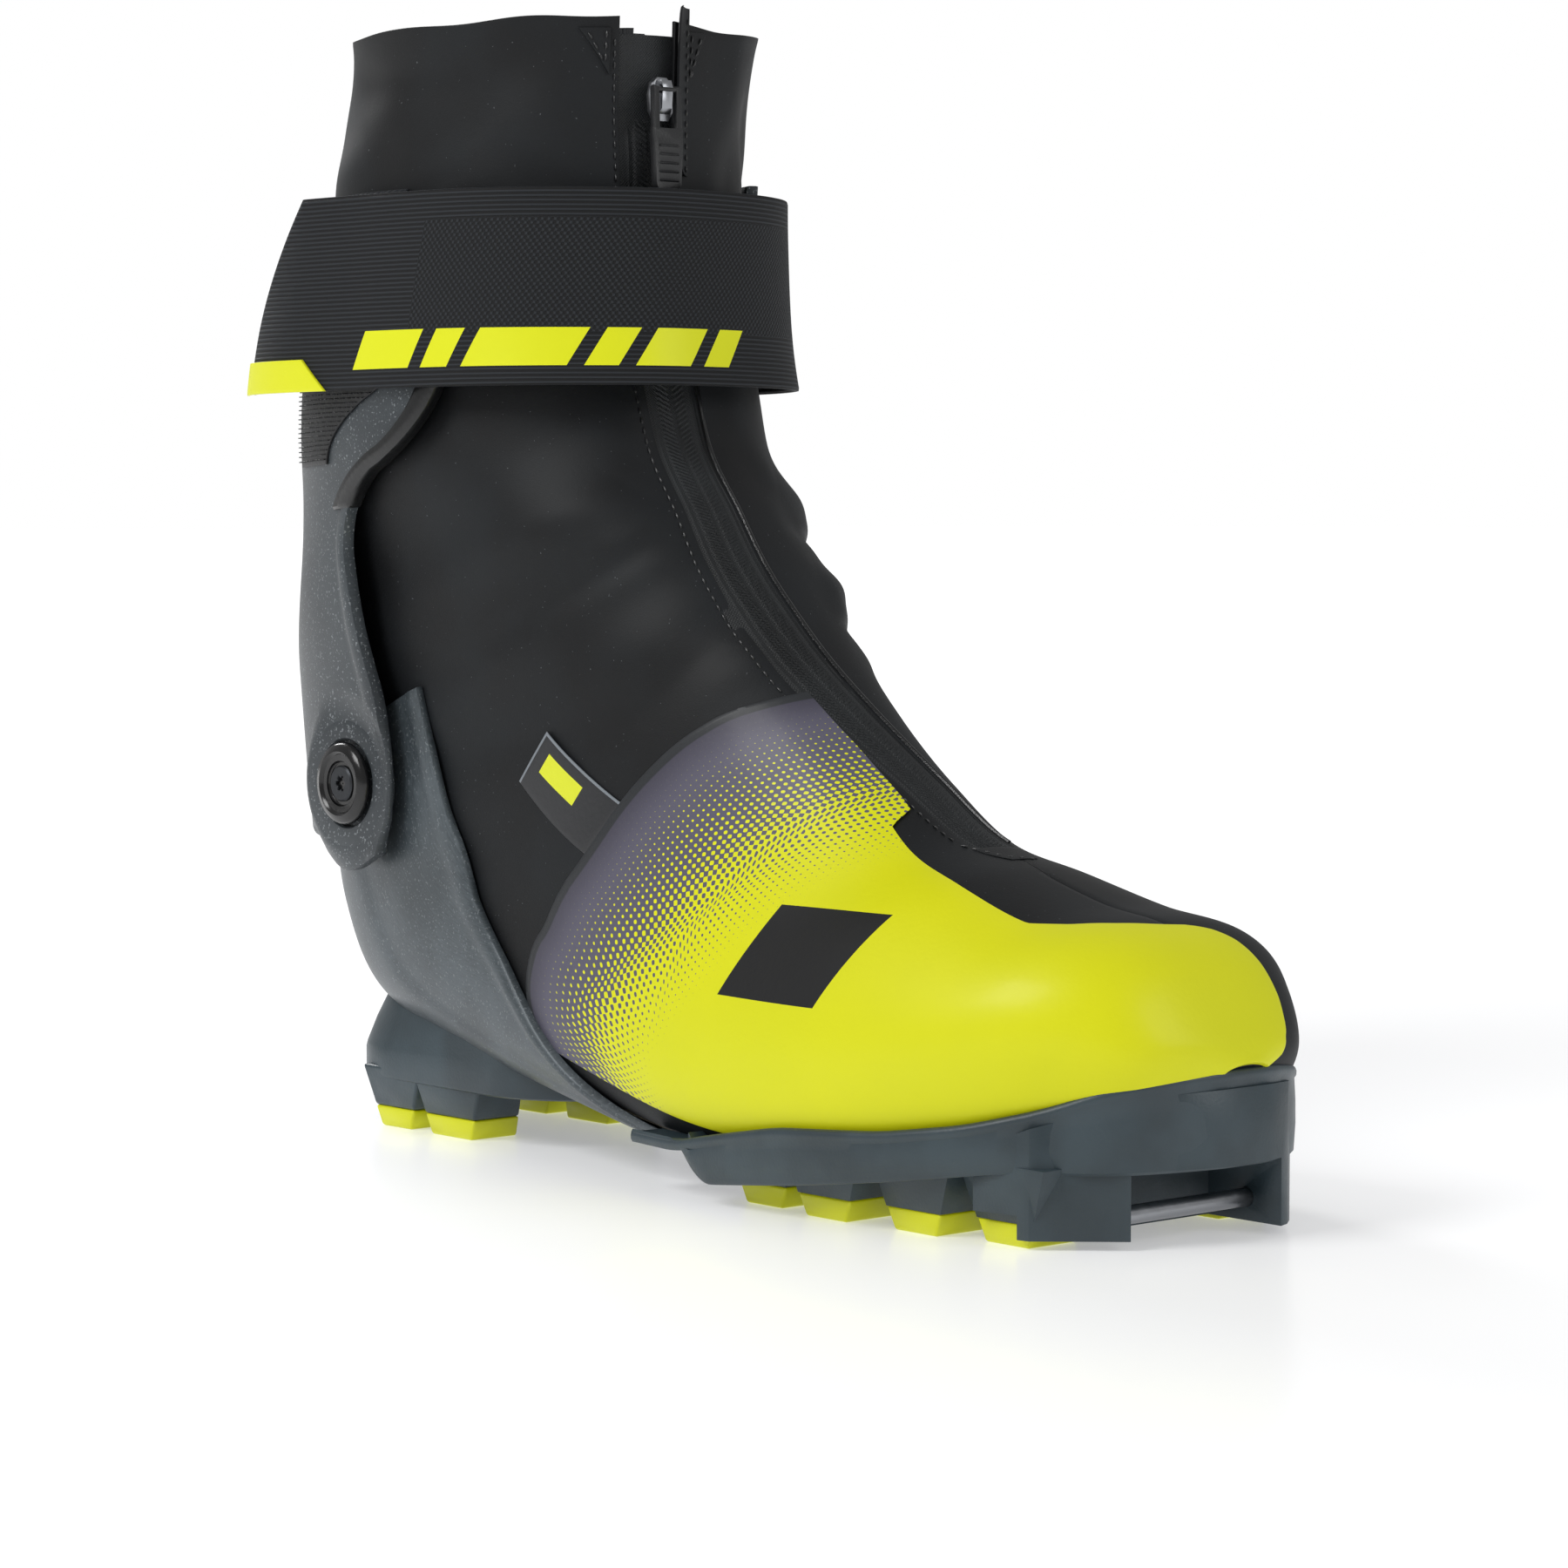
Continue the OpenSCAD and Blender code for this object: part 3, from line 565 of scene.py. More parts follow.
def tube(points, outward, radius, sides=8):
    """Points and faces of a round tube along a line."""
    run = np.gradient(points, axis=0)
    run /= np.linalg.norm(run, axis=1)[:, None]
    side = np.cross(run, outward)
    turn = np.linspace(0, 2 * pi, sides, endpoint=False)
    ring = (outward[:, None] * np.cos(turn)[None, :, None]
            + side[:, None] * np.sin(turn)[None, :, None])
    verts = (points[:, None] + ring * np.asarray(radius).reshape(-1, 1, 1)).reshape(-1, 3)
    faces = [[i * sides + j, (i + 1) * sides + j, (i + 1) * sides + (j + 1) % sides,
              i * sides + (j + 1) % sides] for i in range(len(points) - 1) for j in range(sides)]
    ends = [list(range(sides))[::-1], [len(verts) - sides + j for j in range(sides)]]
    return verts, faces + ends


def gather(parts):
    """Several (points, faces) pieces as one."""
    verts, faces, start = [], [], 0
    for points, polygons in parts:
        verts.append(points)
        faces += [[start + i for i in polygon] for polygon in polygons]
        start += len(points)
    return np.concatenate(verts), faces


def stitches(line, pitch=0.0026, length=0.0019, radius=0.00026):
    """Thread stitches along a line: each a short bowed thread."""
    points, outward = line
    run = lengths(points, 0)
    bow = np.array([-0.9, 0.35, 0.6, 0.35, -0.9])
    parts = []
    for start in np.arange(0, run[-1] - length, pitch):
        at = start + length * np.linspace(0, 1, 5)
        p = np.stack([np.interp(at, run, points[:, k]) for k in range(3)], -1)
        n = np.stack([np.interp(at, run, outward[:, k]) for k in range(3)], -1)
        parts.append(tube(p + n * (bow * radius)[:, None], n,
                          radius * np.array([0.5, 1, 1.05, 1, 0.5]), 6))
    return gather(parts)


thread = Finish("sewing_thread", Base_Color=rgb(16, 17, 19), Roughness=0.35,
                Specular_IOR_Level=0.6)
thread.bump(thread.noise(5200, 1), 0.00005)
outer_seam = [(s, zip_y(s) - 8.8) for s in np.linspace(0.3, ZIP_END - 0.1, 40)]
zip_end_seam = [(ZIP_END - 0.1, zip_y(11.1) - 8.8), (ZIP_END + 0.35, zip_y(11.2) - 3.0),
                (ZIP_END + 0.46, zip_y(11.2) + 4.0)]
seam_parts = [stitches(line_on(outer_seam, 0.12)), stitches(line_on(zip_end_seam, 0.12))]
zip_stitches = add_mesh("zip_stitches", *gather(seam_parts), thread)
across_ankle(zip_stitches)

piping_finish = Finish("zip_piping", Base_Color=rgb(14, 15, 17), Roughness=0.28)
piping_finish.bump(piping_finish.noise(2400, 2), 0.00008)
piping_line = [(s, zip_y(s) + 8.0) for s in np.linspace(1.6, ZIP_END - 0.15, 40)]
piping = add_mesh("zip_piping", *tube(*line_on(piping_line, 0.1, 0.0012), 0.00062), piping_finish)
across_ankle(piping)

end_patch = sheet("zip_end_patch",
                  lambda u, v: (ZIP_END + 0.02 + 0.42 * u, angle_at(
                      ZIP_END + 0.02 + 0.42 * u, zip_y(11.2) + (v - 0.5) * (15 - 7 * u ** 2))),
                  8, 20, -0.6, 0.35, softshell)
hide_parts("zip_end_patch")
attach(end_patch, "boot")

# ---- Storm flap and collar patches ------------------------------------------------
# A narrow strip of the same softshell beside the top of the zip, on its inner side, with a
# free edge that curls up, and a stitched triangle either side of the zip's top.
def flap_relief(s, a, u, v):
    """The flap stands off at its free edge, most at the top, and its lower corner curls."""
    free = (1 - v) ** 1.6
    return (softshell_relief(s, a) + free * (2.4 + 1.8 * np.exp(-u * 4))
            + 1.8 * free ** 2 * smooth((u - 0.78) / 0.22) + 0.5 * smooth((0.12 - v) / 0.1))


def flap_place(u, v):
    s = -0.2 + (1.6 - 0.32 * (1 - v) ** 2) * u
    return s, angle_at(s, zip_y(s) + 5.0 + 4.8 * v)


storm_flap = sheet("storm_flap", flap_place, 60, 36, 0.2, 1.1, softshell, flap_relief,
                   flap_relief)
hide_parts("storm_flap")
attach(storm_flap, "cuff")

PATCHES = ((-26, -19.5, 0.2, 0.58), (5.9, 0.2, 0.2, 0.65))     # outer y, inner y, top, bottom


def patch(name, outer_y, inner_y, top, low):
    """A stitched triangle of softshell at one side of the zip's top."""
    def place(u, v):
        s = top + (low - top) * u
        return s, angle_at(s, outer_y + (inner_y - outer_y) * (u + (1 - u) * v))
    piece = sheet(name, place, 14, 20, 0.05, 0.75, softshell, softshell_relief, softshell_relief)
    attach(piece, "cuff")


patch("outer_collar_patch", *PATCHES[0])
patch("inner_collar_patch", *PATCHES[1])
flap_lines = [[(s, zip_y(s) + 9.2) for s in np.linspace(0.05, 1.4, 12)]]
for outer_y, inner_y, top, low in PATCHES:
    inset = 0.9 * np.sign(inner_y - outer_y)
    flap_lines += [[(top + 0.05, outer_y + 2.2 * inset), (low - 0.06, inner_y - inset)],
                   [(top + 0.03, inner_y - inset), (low - 0.05, inner_y - inset)]]
patch_stitches = add_mesh("collar_stitches", *gather(
    [stitches(line_on(places, 0.9 if i else 1.2)) for i, places in enumerate(flap_lines)]),
    thread)
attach(patch_stitches, "cuff")

# ---- Slider and pull -----------------------------------------------------------------
# Die-cast slider plates with a bridge, and a moulded pull that hangs on it.
def cast_finish():
    f = Finish("cast_metal", Metallic=1.0, Base_Color=rgb(150, 152, 156))
    f.paint(Roughness=0.22 + f.noise(300, 3) * 0.25)
    f.bump(f.noise(900, 2), 0.00004)
    return f


def prism(outline, axis, low, high):
    """Points and faces of a flat outline raised along an axis, in the form's millimetres."""
    flat = np.asarray(outline, float)
    n = len(flat)
    points = np.zeros((2, n, 3))
    points[..., [k for k in range(3) if k != axis]] = flat
    points[0, :, axis], points[1, :, axis] = low, high
    faces = [list(range(n))[::-1], list(range(n, 2 * n))]
    faces += [[i, (i + 1) % n, (i + 1) % n + n, i + n] for i in range(n)]
    return points.reshape(-1, 3) * MM + np.array(FORM_CENTRE), faces


def turned(radius, axis, centre, low, high, steps=40):
    """A round bar as a prism."""
    t = np.linspace(0, 2 * pi, steps, endpoint=False)
    return prism(np.stack([centre[0] + radius * np.cos(t), centre[1] + radius * np.sin(t)], -1),
                 axis, low, high)


def moulded(name, solids, finish, rounding, cuts=(), sharp=50):
    """One moulding joined from several solids, less the cuts, with its edges rounded."""
    parts = [add_mesh(name, *solid, finish) for solid in (*solids, *cuts)]
    for part in parts:
        form = bmesh.new()
        form.from_mesh(part.data)
        bmesh.ops.recalc_face_normals(form, faces=form.faces)
        form.to_mesh(part.data)
        form.free()
    piece = parts[0]
    for i, other in enumerate(parts[1:], 1):
        join = piece.modifiers.new("join", "BOOLEAN")
        join.operation = "UNION" if i < len(solids) else "DIFFERENCE"
        join.object, join.solver = other, "EXACT"
    edge = piece.modifiers.new("rounding", "BEVEL")
    edge.width, edge.segments, edge.limit_method = rounding * MM, 3, "ANGLE"
    edge.angle_limit, edge.harden_normals = radians(28), True
    graph = bpy.context.evaluated_depsgraph_get()
    mesh = bpy.data.meshes.new_from_object(piece.evaluated_get(graph))
    piece.modifiers.clear()
    piece.data = mesh
    for other in parts[1:]:
        bpy.data.objects.remove(other)
    mesh.polygons.foreach_set("use_smooth", [True] * len(mesh.polygons))
    mesh.set_sharp_from_angle(angle=radians(sharp))
    return piece


SLIDER = np.array([-24.6, -9.2, 247.0])        # the slider's middle, on the tape


def slider_outline(half, long):
    """Half-width and length of a slider plate: a round nose and a narrower tail."""
    return [(SLIDER[1] + y * half, SLIDER[2] + z * long) for y, z in (
        (-0.55, -1), (0.55, -1), (0.95, -0.55), (1, 0.2), (0.8, 0.75), (0.4, 1), (-0.4, 1),
        (-0.8, 0.75), (-1, 0.2), (-0.95, -0.55))]


def beside(outline):
    """A side outline of (forward, up) about the slider's middle."""
    return [(SLIDER[0] + x, SLIDER[2] + z) for x, z in outline]


cast = cast_finish()
slider = moulded("zip_slider", [
    prism(slider_outline(3.4, 5.0), 0, SLIDER[0], SLIDER[0] + 1.5),
    prism(beside(((1.2, -3.4), (2.2, -3.4), (3.3, -2.2), (3.7, 2.6), (3.1, 4.3), (1.2, 4.4))), 1,
          SLIDER[1] - 1.5, SLIDER[1] + 1.5)], cast, 0.3,
    [turned(0.98, 1, (SLIDER[0] + 2.8, SLIDER[2] + 2.2), SLIDER[1] - 6, SLIDER[1] + 6)])
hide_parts("zip_slider")
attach(slider, "slider")

pull_finish = Finish("moulded_pull", Base_Color=rgb(22, 23, 25), Roughness=0.42)
pull_finish.bump(pull_finish.noise(1800, 2), 0.00006)
HINGE = SLIDER + np.array([2.8, 0, 2.2])


def pull_side(outline):
    return [(HINGE[0] + x, HINGE[2] + z) for x, z in outline]


def pull_front(outline):
    return [(HINGE[1] + y, HINGE[2] + z) for y, z in outline]


arms = [prism(pull_side(((-0.8, 0.5), (0.1, 0.9), (0.8, 0.5), (1.2, -10.2), (-0.6, -10.2))), 1,
              HINGE[1] + low, HINGE[1] + low + 1.4) for low in (-4.0, 2.6)]
grip = prism(pull_front(((-4, -9), (4, -9), (4.2, -12), (3.7, -22), (2.6, -24), (-2.6, -24),
                         (-3.7, -22), (-4.2, -12))), 0, HINGE[0] - 0.7, HINGE[0] + 1.3)
ribs = [prism(pull_side(((1.1, z), (1.75, z - 0.5), (1.1, z - 1.0))), 1, HINGE[1] - 2.8,
              HINGE[1] + 2.8) for z in (-12.5, -14.5, -16.5, -18.5, -20.5)]
pull = moulded("zip_pull", [turned(0.78, 1, (HINGE[0], HINGE[2]), HINGE[1] - 4, HINGE[1] + 4),
                            *arms, grip, *ribs], pull_finish, 0.3)
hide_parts("zip_pull")
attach(pull, "pull")

# ---- Coloured film wrap ----------------------------------------------------------
# A printed polyurethane film welded over the outer forefoot and the toe: violet grey with a
# narrow dark rear edge, turning to lime through a print of growing dots, with one plain dark
# block on its side. A small dark tab with a lime block on it lies behind the film.
WRAP_REAR = ((-112, 10.6), (-105, 10.3), (-99, 10.05), (-92, 9.76), (-85, 9.42), (-75, 9.15),
             (-64, 8.8), (-56, 8.6), (-47, 8.42), (-35, 8.3), (-12, 8.35))
WRAP_START, WRAP_SPAN = -112, 99.6     # the rear edge's angle at the sole, and its rise
WRAP_TOP = ((8.35, -12.4), (9.3, -9.8), (10.25, -8.8), (10.42, -9), (10.57, -16.9), (12, -20),
            (13.1, -21.7), (13.49, -16.9), (13.79, -9.6), (14.05, 0), (14.26, 5.9),
            (14.54, 11.6), (14.99, 19.4), (15.5, 26.9), (15.76, 29.4), (16.13, 34.7),
            (16.5, 50), (17, 60))


def wrap_place(u, v):
    rear = WRAP_START + WRAP_SPAN * v
    across = sum(read(WRAP_REAR, rear + d) for d in (-3, 0, 3)) / 3
    s = across + (16.96 - across) * u
    top = read(WRAP_TOP, s)
    return s, WRAP_START + (top - WRAP_START) * v


def wrap_finish():
    f = Finish("printed_film", Roughness=0.4, Specular_IOR_Level=0.3, Coat_Weight=0.06)
    f.paint(Coat_Roughness=0.2)
    behind = f.printed()[0]
    x, y = f.cloth()
    slanted = 2 * pi / 0.0026 * 0.7071          # rows of dots 2.6 mm apart, at 45 degrees
    dots = ((x + y) * slanted).sine() * ((x - y) * slanted).sine()
    grow = behind.step(0.004, 0.062)
    lime = f.between(rgb(221, 221, 0), rgb(214, 216, 6), f.noise(14).step(0.3, 0.7))
    level = 1.05 - grow * 2.1
    print_mask = (dots - level).step(-0.08, 0.08)
    violet = f.between(rgb(60, 58, 70), rgb(88, 86, 101), behind.step(0.0, 0.012))
    colour = f.between(violet, lime, print_mask)
    ahead, _, tall = f.split(f.place())
    slant = ahead - tall * 0.55
    block = ((slant > 0.010) * (slant < 0.044)) * ((tall > 0.046) * (tall < 0.066))
    colour = f.between(colour, rgb(22, 22, 23), block)
    border = behind.step(0.0022, 0.0026)
    f.paint(Base_Color=f.between(rgb(40, 42, 45), colour, border))
    f.paint(Roughness=0.4 + f.noise(120, 2) * 0.12)
    f.bump(f.noise(700, 2), 0.00004)
    return f


def set_print(piece, rows, cols):
    """Stores how far each point of a sheet of rows by cols is from its rear and top edges."""
    points = np.zeros(len(piece.data.vertices) * 3, np.float32)
    piece.data.vertices.foreach_get("co", points)
    grid = points.reshape(2, len(edge_steps(rows)), len(edge_steps(cols)), 3)[0]
    behind = lengths(grid, 0)
    across = lengths(grid[:, ::-1], 1)[:, ::-1]
    both = np.stack([behind, across, np.zeros_like(behind)], -1).reshape(-1, 3)
    layer = piece.data.attributes.new("print", "FLOAT_VECTOR", "POINT")
    layer.data.foreach_set("vector", np.concatenate([both, both]).astype(np.float32).ravel())


wrap = sheet("film_wrap", wrap_place, 150, 120, 0.05, 0.75, wrap_finish())
set_print(wrap, 150, 120)
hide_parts("side_wrap")
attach(wrap, "boot")

tab_finish = Finish("film_tab", Roughness=0.35)
along, across_tab = tab_finish.printed()
block = ((across_tab - 0.0062).absolute() < 0.0028) * (along < 0.017) * (along > 0.004)
edge = (along < 0.0007).most(across_tab < 0.0007)
tab_colour = tab_finish.between(rgb(27, 28, 31), rgb(214, 220, 30), block)
tab_finish.paint(Base_Color=tab_finish.between(tab_colour, rgb(120, 126, 132), edge))
tab_finish.bump(tab_finish.noise(900, 2), 0.00004)


def tab_place(u, v):
    return 7.98 + 1.21 * u - (0.41 - 0.09 * u) * v, -80.6 + 5.5 * u + (8.1 + 3.4 * u) * v


tab = sheet("film_tab", tab_place, 20, 20, 0.1, 0.7, tab_finish)
set_print(tab, 20, 20)
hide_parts("side_tab")
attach(tab, "boot")

# ---- Carbon chassis -------------------------------------------------------------------
# A compression-moulded carbon heel cup that runs forward under the arch. The front band is
# speckled and darker, the cup behind it is brushed, and a crease parts them.
CHASSIS_END = 12.2              # the station where its front end stops under the arch
CHASSIS_EDGE = ((6.4, 94), (7.6, 92.3), (8.5, 91.2), (9.4, 94.2), (10, 99), (10.4, 105),
                (10.8, 114), (11.5, 130), (12.2, 146))


def soft_read(pairs, x, spread=0.25):
    """A reading of pairs with its corners rounded."""
    return sum(read(pairs, x + spread * d) for d in (-1, -0.5, 0, 0.5, 1)) / 5


def chassis_place(u, v):
    start = 6.75 - 0.30 * np.abs(2 * v - 1) ** 2
    s = start + (CHASSIS_END - start) * u
    a = soft_read(CHASSIS_EDGE, s)
    return s, a + (360 - 2 * a) * v


def chassis_relief(s, a, u, v):
    edge = np.minimum(v, 1 - v) * (360 - 2 * soft_read(CHASSIS_EDGE, s))
    crease = 24 * smooth((12.0 - s) / 2.6) + 1
    bead = 0.5 * np.exp(-((edge - 1.6) / 1.0) ** 2)
    return bead - 0.7 * np.exp(-((edge - crease) / 4.0) ** 2) - 0.5 * smooth((crease - edge) / 6)


PIVOT = np.array([-0.101, 0.001, 0.086]) + np.array(FORM_CENTRE)
CUFF_PLANE = 0.0454             # outer face of the cuff's boss from the ankle's centre


def carbon_finish(name, dark, light, brushed):
    f = Finish(name, Metallic=0.25, Roughness=0.4, Specular_IOR_Level=0.55)
    x, y = f.cloth()
    stretch = f.node("ShaderNodeCombineXYZ", None, x * 8.0, y * (1.2 if brushed else 8.0), 0.0)
    streak = f.noise(260, 4, 0.6, stretch)
    speck = f.noise(1500, 1).step(0.62, 0.72)
    cloud = f.noise(30, 3)
    base = f.between(dark, light, (cloud * 0.6 + streak * 0.4).step(0.35, 0.65))
    f.paint(Base_Color=f.between(base, rgb(168, 174, 178), speck * (0.22 if brushed else 0.4)))
    f.paint(Roughness=0.3 + streak * 0.22)
    f.bump(streak + speck * 0.5, 0.00005)
    return f


chassis_finish = carbon_finish("brushed_carbon", rgb(52, 59, 63), rgb(80, 88, 93), True)
chassis = sheet("carbon_chassis", chassis_place, 150, 200, 0.5, 3.0, chassis_finish,
                chassis_relief)
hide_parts("chassis_shell")
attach(chassis, "boot")

# ---- Swinging cuff ----------------------------------------------------------------------
# A stiff moulded cuff round the back of the leg. Its wings close round the shin, its arms
# reach down to the ankle pivots, where a flat boss holds the cap, and a bead edges it.
CUFF_EDGE = ((1.35, 61), (2, 62), (2.8, 65), (3.4, 70), (3.8, 78), (4.1, 88), (4.4, 98),
             (4.8, 103), (5.4, 101), (6, 99.8), (6.5, 98), (7.1, 98), (7.5, 99), (7.9, 101),
             (8, 105))


def cuff_swell(s):
    return 2 + 3.9 * smooth((s - 4.2) / 1.6)


def cuff_place(u, v):
    top = 1.35 + 0.3 * smooth(1.4 * v - 0.4)
    low = 7.25 + 0.77 * smooth((0.24 - np.minimum(v, 1 - v)) / 0.2)
    s = top + (low - top) * u
    a = soft_read(CUFF_EDGE, s, 0.18)
    return s, a + (360 - 2 * a) * v


def cuff_relief(s, a, u, v):
    edge = np.minimum(v, 1 - v) * (360 - 2 * soft_read(CUFF_EDGE, s, 0.18))
    bead = 0.55 * smooth((3.4 - edge) / 1.4)
    return cuff_swell(s) + bead


def flatten_boss(piece, first, last):
    """Presses the outer face flat round both pivots, in the mesh's points from first to last."""
    points = np.zeros(len(piece.data.vertices) * 3, np.float32)
    piece.data.vertices.foreach_get("co", points)
    points = points.reshape(-1, 3)
    part = points[first:last]
    away = np.hypot(part[:, 0] - PIVOT[0], part[:, 2] - PIVOT[2])
    share = 1 - smooth((away - 0.0155) / 0.008)
    side = np.sign(part[:, 1] - PIVOT[1])
    plane = PIVOT[1] + side * (CUFF_PLANE - 0.002 * (away < 0.0135))
    part[:, 1] += (plane - part[:, 1]) * share
    piece.data.vertices.foreach_set("co", points.ravel())


ROUND_STEPS = 96                # points round a turned part and round the heel
full_turn = np.linspace(0, 2 * pi, ROUND_STEPS, endpoint=False)


def ring_faces(first, second, flip=1):
    """Faces between two rings of ROUND_STEPS points, turned over if flip is -1."""
    first, second = first * ROUND_STEPS, second * ROUND_STEPS
    return [[first + j, first + (j + 1) % ROUND_STEPS, second + (j + 1) % ROUND_STEPS,
             second + j][::flip] for j in range(ROUND_STEPS)]


def lathe(profile, centre, side):
    """A turned ring about the ankle pivot's line from (radius, depth outwards) points."""
    ring = np.array([[(r * cos(t), side * d, r * sin(t)) for t in full_turn] for r, d in profile])
    faces = []
    for i in range(len(profile)):
        faces += ring_faces(i, (i + 1) % len(profile), side)
    return ring.reshape(-1, 3) + np.asarray(centre), faces


cuff_finish = carbon_finish("moulded_cuff", rgb(44, 49, 53), rgb(64, 70, 74), False)
cuff = sheet("swinging_cuff", cuff_place, 200, 230, 0, 2.6, cuff_finish, cuff_relief,
             lambda s, a, u, v: cuff_swell(s))
flatten_boss(cuff, 0, len(cuff.data.vertices) // 2)
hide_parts("cuff_shell")
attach(cuff, "cuff")
BOSS_RING = ((0.0106, -0.003), (0.0106, -0.0004), (0.0110, 0.0), (0.0150, 0.00008),
             (0.0156, -0.0001), (0.0158, -0.003))
bosses = add_mesh("cuff_pivot_bosses", *gather(
    [lathe(BOSS_RING, PIVOT + np.array([0, side * CUFF_PLANE, 0]), side) for side in (-1, 1)]),
    cuff_finish)
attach(bosses, "cuff")

padding = sheet("cuff_padding", lambda u, v: (1.5 + 2.2 * u, 84 + 192 * v), 40, 90, 0.3, 1.7,
                liner_knit, soft=0.45)
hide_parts("cuff_padding")
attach(padding, "cuff")

lip_finish = Finish("moulded_lip", Base_Color=rgb(13, 14, 15), Roughness=0.3)
lip_finish.bump(lip_finish.noise(800, 2), 0.00006)
for side in (0, 1):
    def lip_place(u, v, side=side):
        s = 2.9 + 1.65 * u
        start = soft_read(CUFF_EDGE, s, 0.18) - 0.6
        a = start + 6.5 * v
        return s, a if side == 0 else 360 - start - 6.5 * (1 - v)
    lip = sheet(("inner", "outer")[side] + "_wing_lip", lip_place, 60, 14, 0.0, 3.4, lip_finish,
                lambda s, a, u, v: cuff_swell(s) + 0.5 * np.sin(pi * v),
                lambda s, a, u, v: cuff_swell(s) - 0.3, soft=0.4)
    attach(lip, "cuff")
    if side == 0:
        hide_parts("cuff_edge_lip")

# ---- Pivot hardware -----------------------------------------------------------------------
# A turned black cap with a stepped recess on each side, and a six-lobed steel screw in it.
cap_finish = Finish("turned_cap", Base_Color=rgb(9, 9, 10), Roughness=0.2)
cap_finish.bump(cap_finish.noise(600, 2), 0.00004)
CAP_PROFILE = ((0.0002, 0.0003), (0.0002, 0.0009), (0.0052, 0.0009), (0.0055, 0.0012),
               (0.0056, 0.0017), (0.0070, 0.0018), (0.0074, 0.0023), (0.0078, 0.0025),
               (0.0092, 0.0021), (0.0098, 0.0014), (0.0100, 0.0008), (0.0100, 0.0003))
screw_finish = Finish("black_steel_screw", Base_Color=rgb(58, 60, 63), Metallic=0.9)
screw_finish.paint(Roughness=0.3 + screw_finish.noise(700, 2) * 0.2)


def lobed_screw(centre, side):
    """A low screw head with a six-lobed socket."""
    turn, flat = full_turn, 0 * full_turn
    lobe = 0.00165 + 0.00034 * np.cos(6 * turn)
    rings = [(0.0044 + flat, 0.0006), (0.0044 + flat, 0.0013), (0.0040 + flat, 0.0017),
             (lobe + 0.0002, 0.0017), (lobe, 0.0015), (lobe, 0.0002), (lobe * 0.05, 0.0001)]
    ring = np.array([np.stack([r * np.cos(turn), flat + side * d, r * np.sin(turn)], -1)
                     for r, d in rings])
    faces = []
    for i in range(len(rings) - 1):
        faces += ring_faces(i, i + 1, side)
    return ring.reshape(-1, 3) + np.asarray(centre), faces


for side, name in ((-1, "lateral"), (1, "medial")):
    face = PIVOT + np.array([0, side * CUFF_PLANE, 0])
    cap = add_mesh("pivot_cap_" + name, *lathe(CAP_PROFILE, face, side), cap_finish)
    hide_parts("pivot_cap_" + name)
    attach(cap, "boot")
    screw = add_mesh("pivot_screw_" + name, *lobed_screw(face, side), screw_finish)
    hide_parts("pivot_screw_" + name)
    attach(screw, "boot")

# ---- Strap ------------------------------------------------------------------------------
# A wide woven elastic band from its anchor on the inner wing round the shin to the hook
# patch on the outer one. Its free end is cut at a slant and tipped in lime film.
STRAP_TOP, STRAP_LOW = 1.55, 3.4              # stations of its two long edges
STRAP_END, STRAP_SLANT = -110, -22            # angle of its free end, and how far that leans


def strap_swell(a):
    return (1.9 * smooth((np.cos(np.radians(a)) - 0.1) / 0.6)
            + 9.0 * smooth((-a - 88) / 46) + 1.7 * np.exp(-((a + 12) / 15) ** 2))


def strap_place(u, v):
    end = STRAP_END + STRAP_SLANT * u
    return STRAP_TOP + (STRAP_LOW - STRAP_TOP) * u, end + (76 - end) * v


def strap_finish():
    f = Finish("woven_elastic", Roughness=0.72, Specular_IOR_Level=0.3)
    x, y = f.cloth()
    warp = (x * (2 * pi / 0.0015)).sine()
    weft = (y * (2 * pi / 0.0017)).sine()
    ribs = (y * (2 * pi / 0.0011)).sine()
    plain = ((y - 0.021).absolute() < 0.0135) * (x > -0.052)
    cell = ((warp * weft) * plain + ribs * (1.0 - plain)).step(-0.5, 0.8)
    colour = f.between(rgb(12, 13, 15), rgb(40, 43, 47), cell)
    slant = x + y * 0.45
    bars = None
    for start, width in ((-0.052, 0.020), (-0.028, 0.008), (-0.016, 0.026), (0.014, 0.008),
                         (0.026, 0.014), (0.044, 0.008)):
        bar = (slant > start) * (slant < start + width)
        bars = bar if bars is None else bars.most(bar)
    bars = bars * ((y > 0.0335) * (y < 0.0425))
    f.paint(Base_Color=f.between(colour, rgb(216, 220, 20), bars))
    f.paint(Roughness=0.74 - bars * 0.3)
    f.bump(cell * (1.0 - bars), 0.0003)
    return f


woven = strap_finish()
strap = sheet("power_strap", strap_place, 60, 220, 6.3, 8.1, woven,
              lambda s, a, u, v: strap_swell(a) + 0.25 * np.sin(pi * u),
              lambda s, a, u, v: strap_swell(a) + 0.25 * np.sin(pi * u), soft=0.35)
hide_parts("strap")
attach(strap, "strap_band")

tip_finish = Finish("lime_tpu", Base_Color=rgb(216, 219, 4), Roughness=0.38)
tip_finish.paint(Roughness=0.34 + tip_finish.noise(160, 2) * 0.12)
tip_finish.bump(tip_finish.noise(1100, 2), 0.00004)


def tip_place(u, v):
    k = 0.83 + 0.175 * u
    end = STRAP_END + STRAP_SLANT * k - 0.6
    return STRAP_TOP + (STRAP_LOW - STRAP_TOP) * k, end + (24 + 11 * u) * v


strap_tip = sheet("strap_tip", tip_place, 12, 30, 8.05, 8.75, tip_finish,
                  lambda s, a, u, v: strap_swell(a) + 0.25,
                  lambda s, a, u, v: strap_swell(a) + 0.1)
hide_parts("strap_tip")
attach(strap_tip, "strap_band")

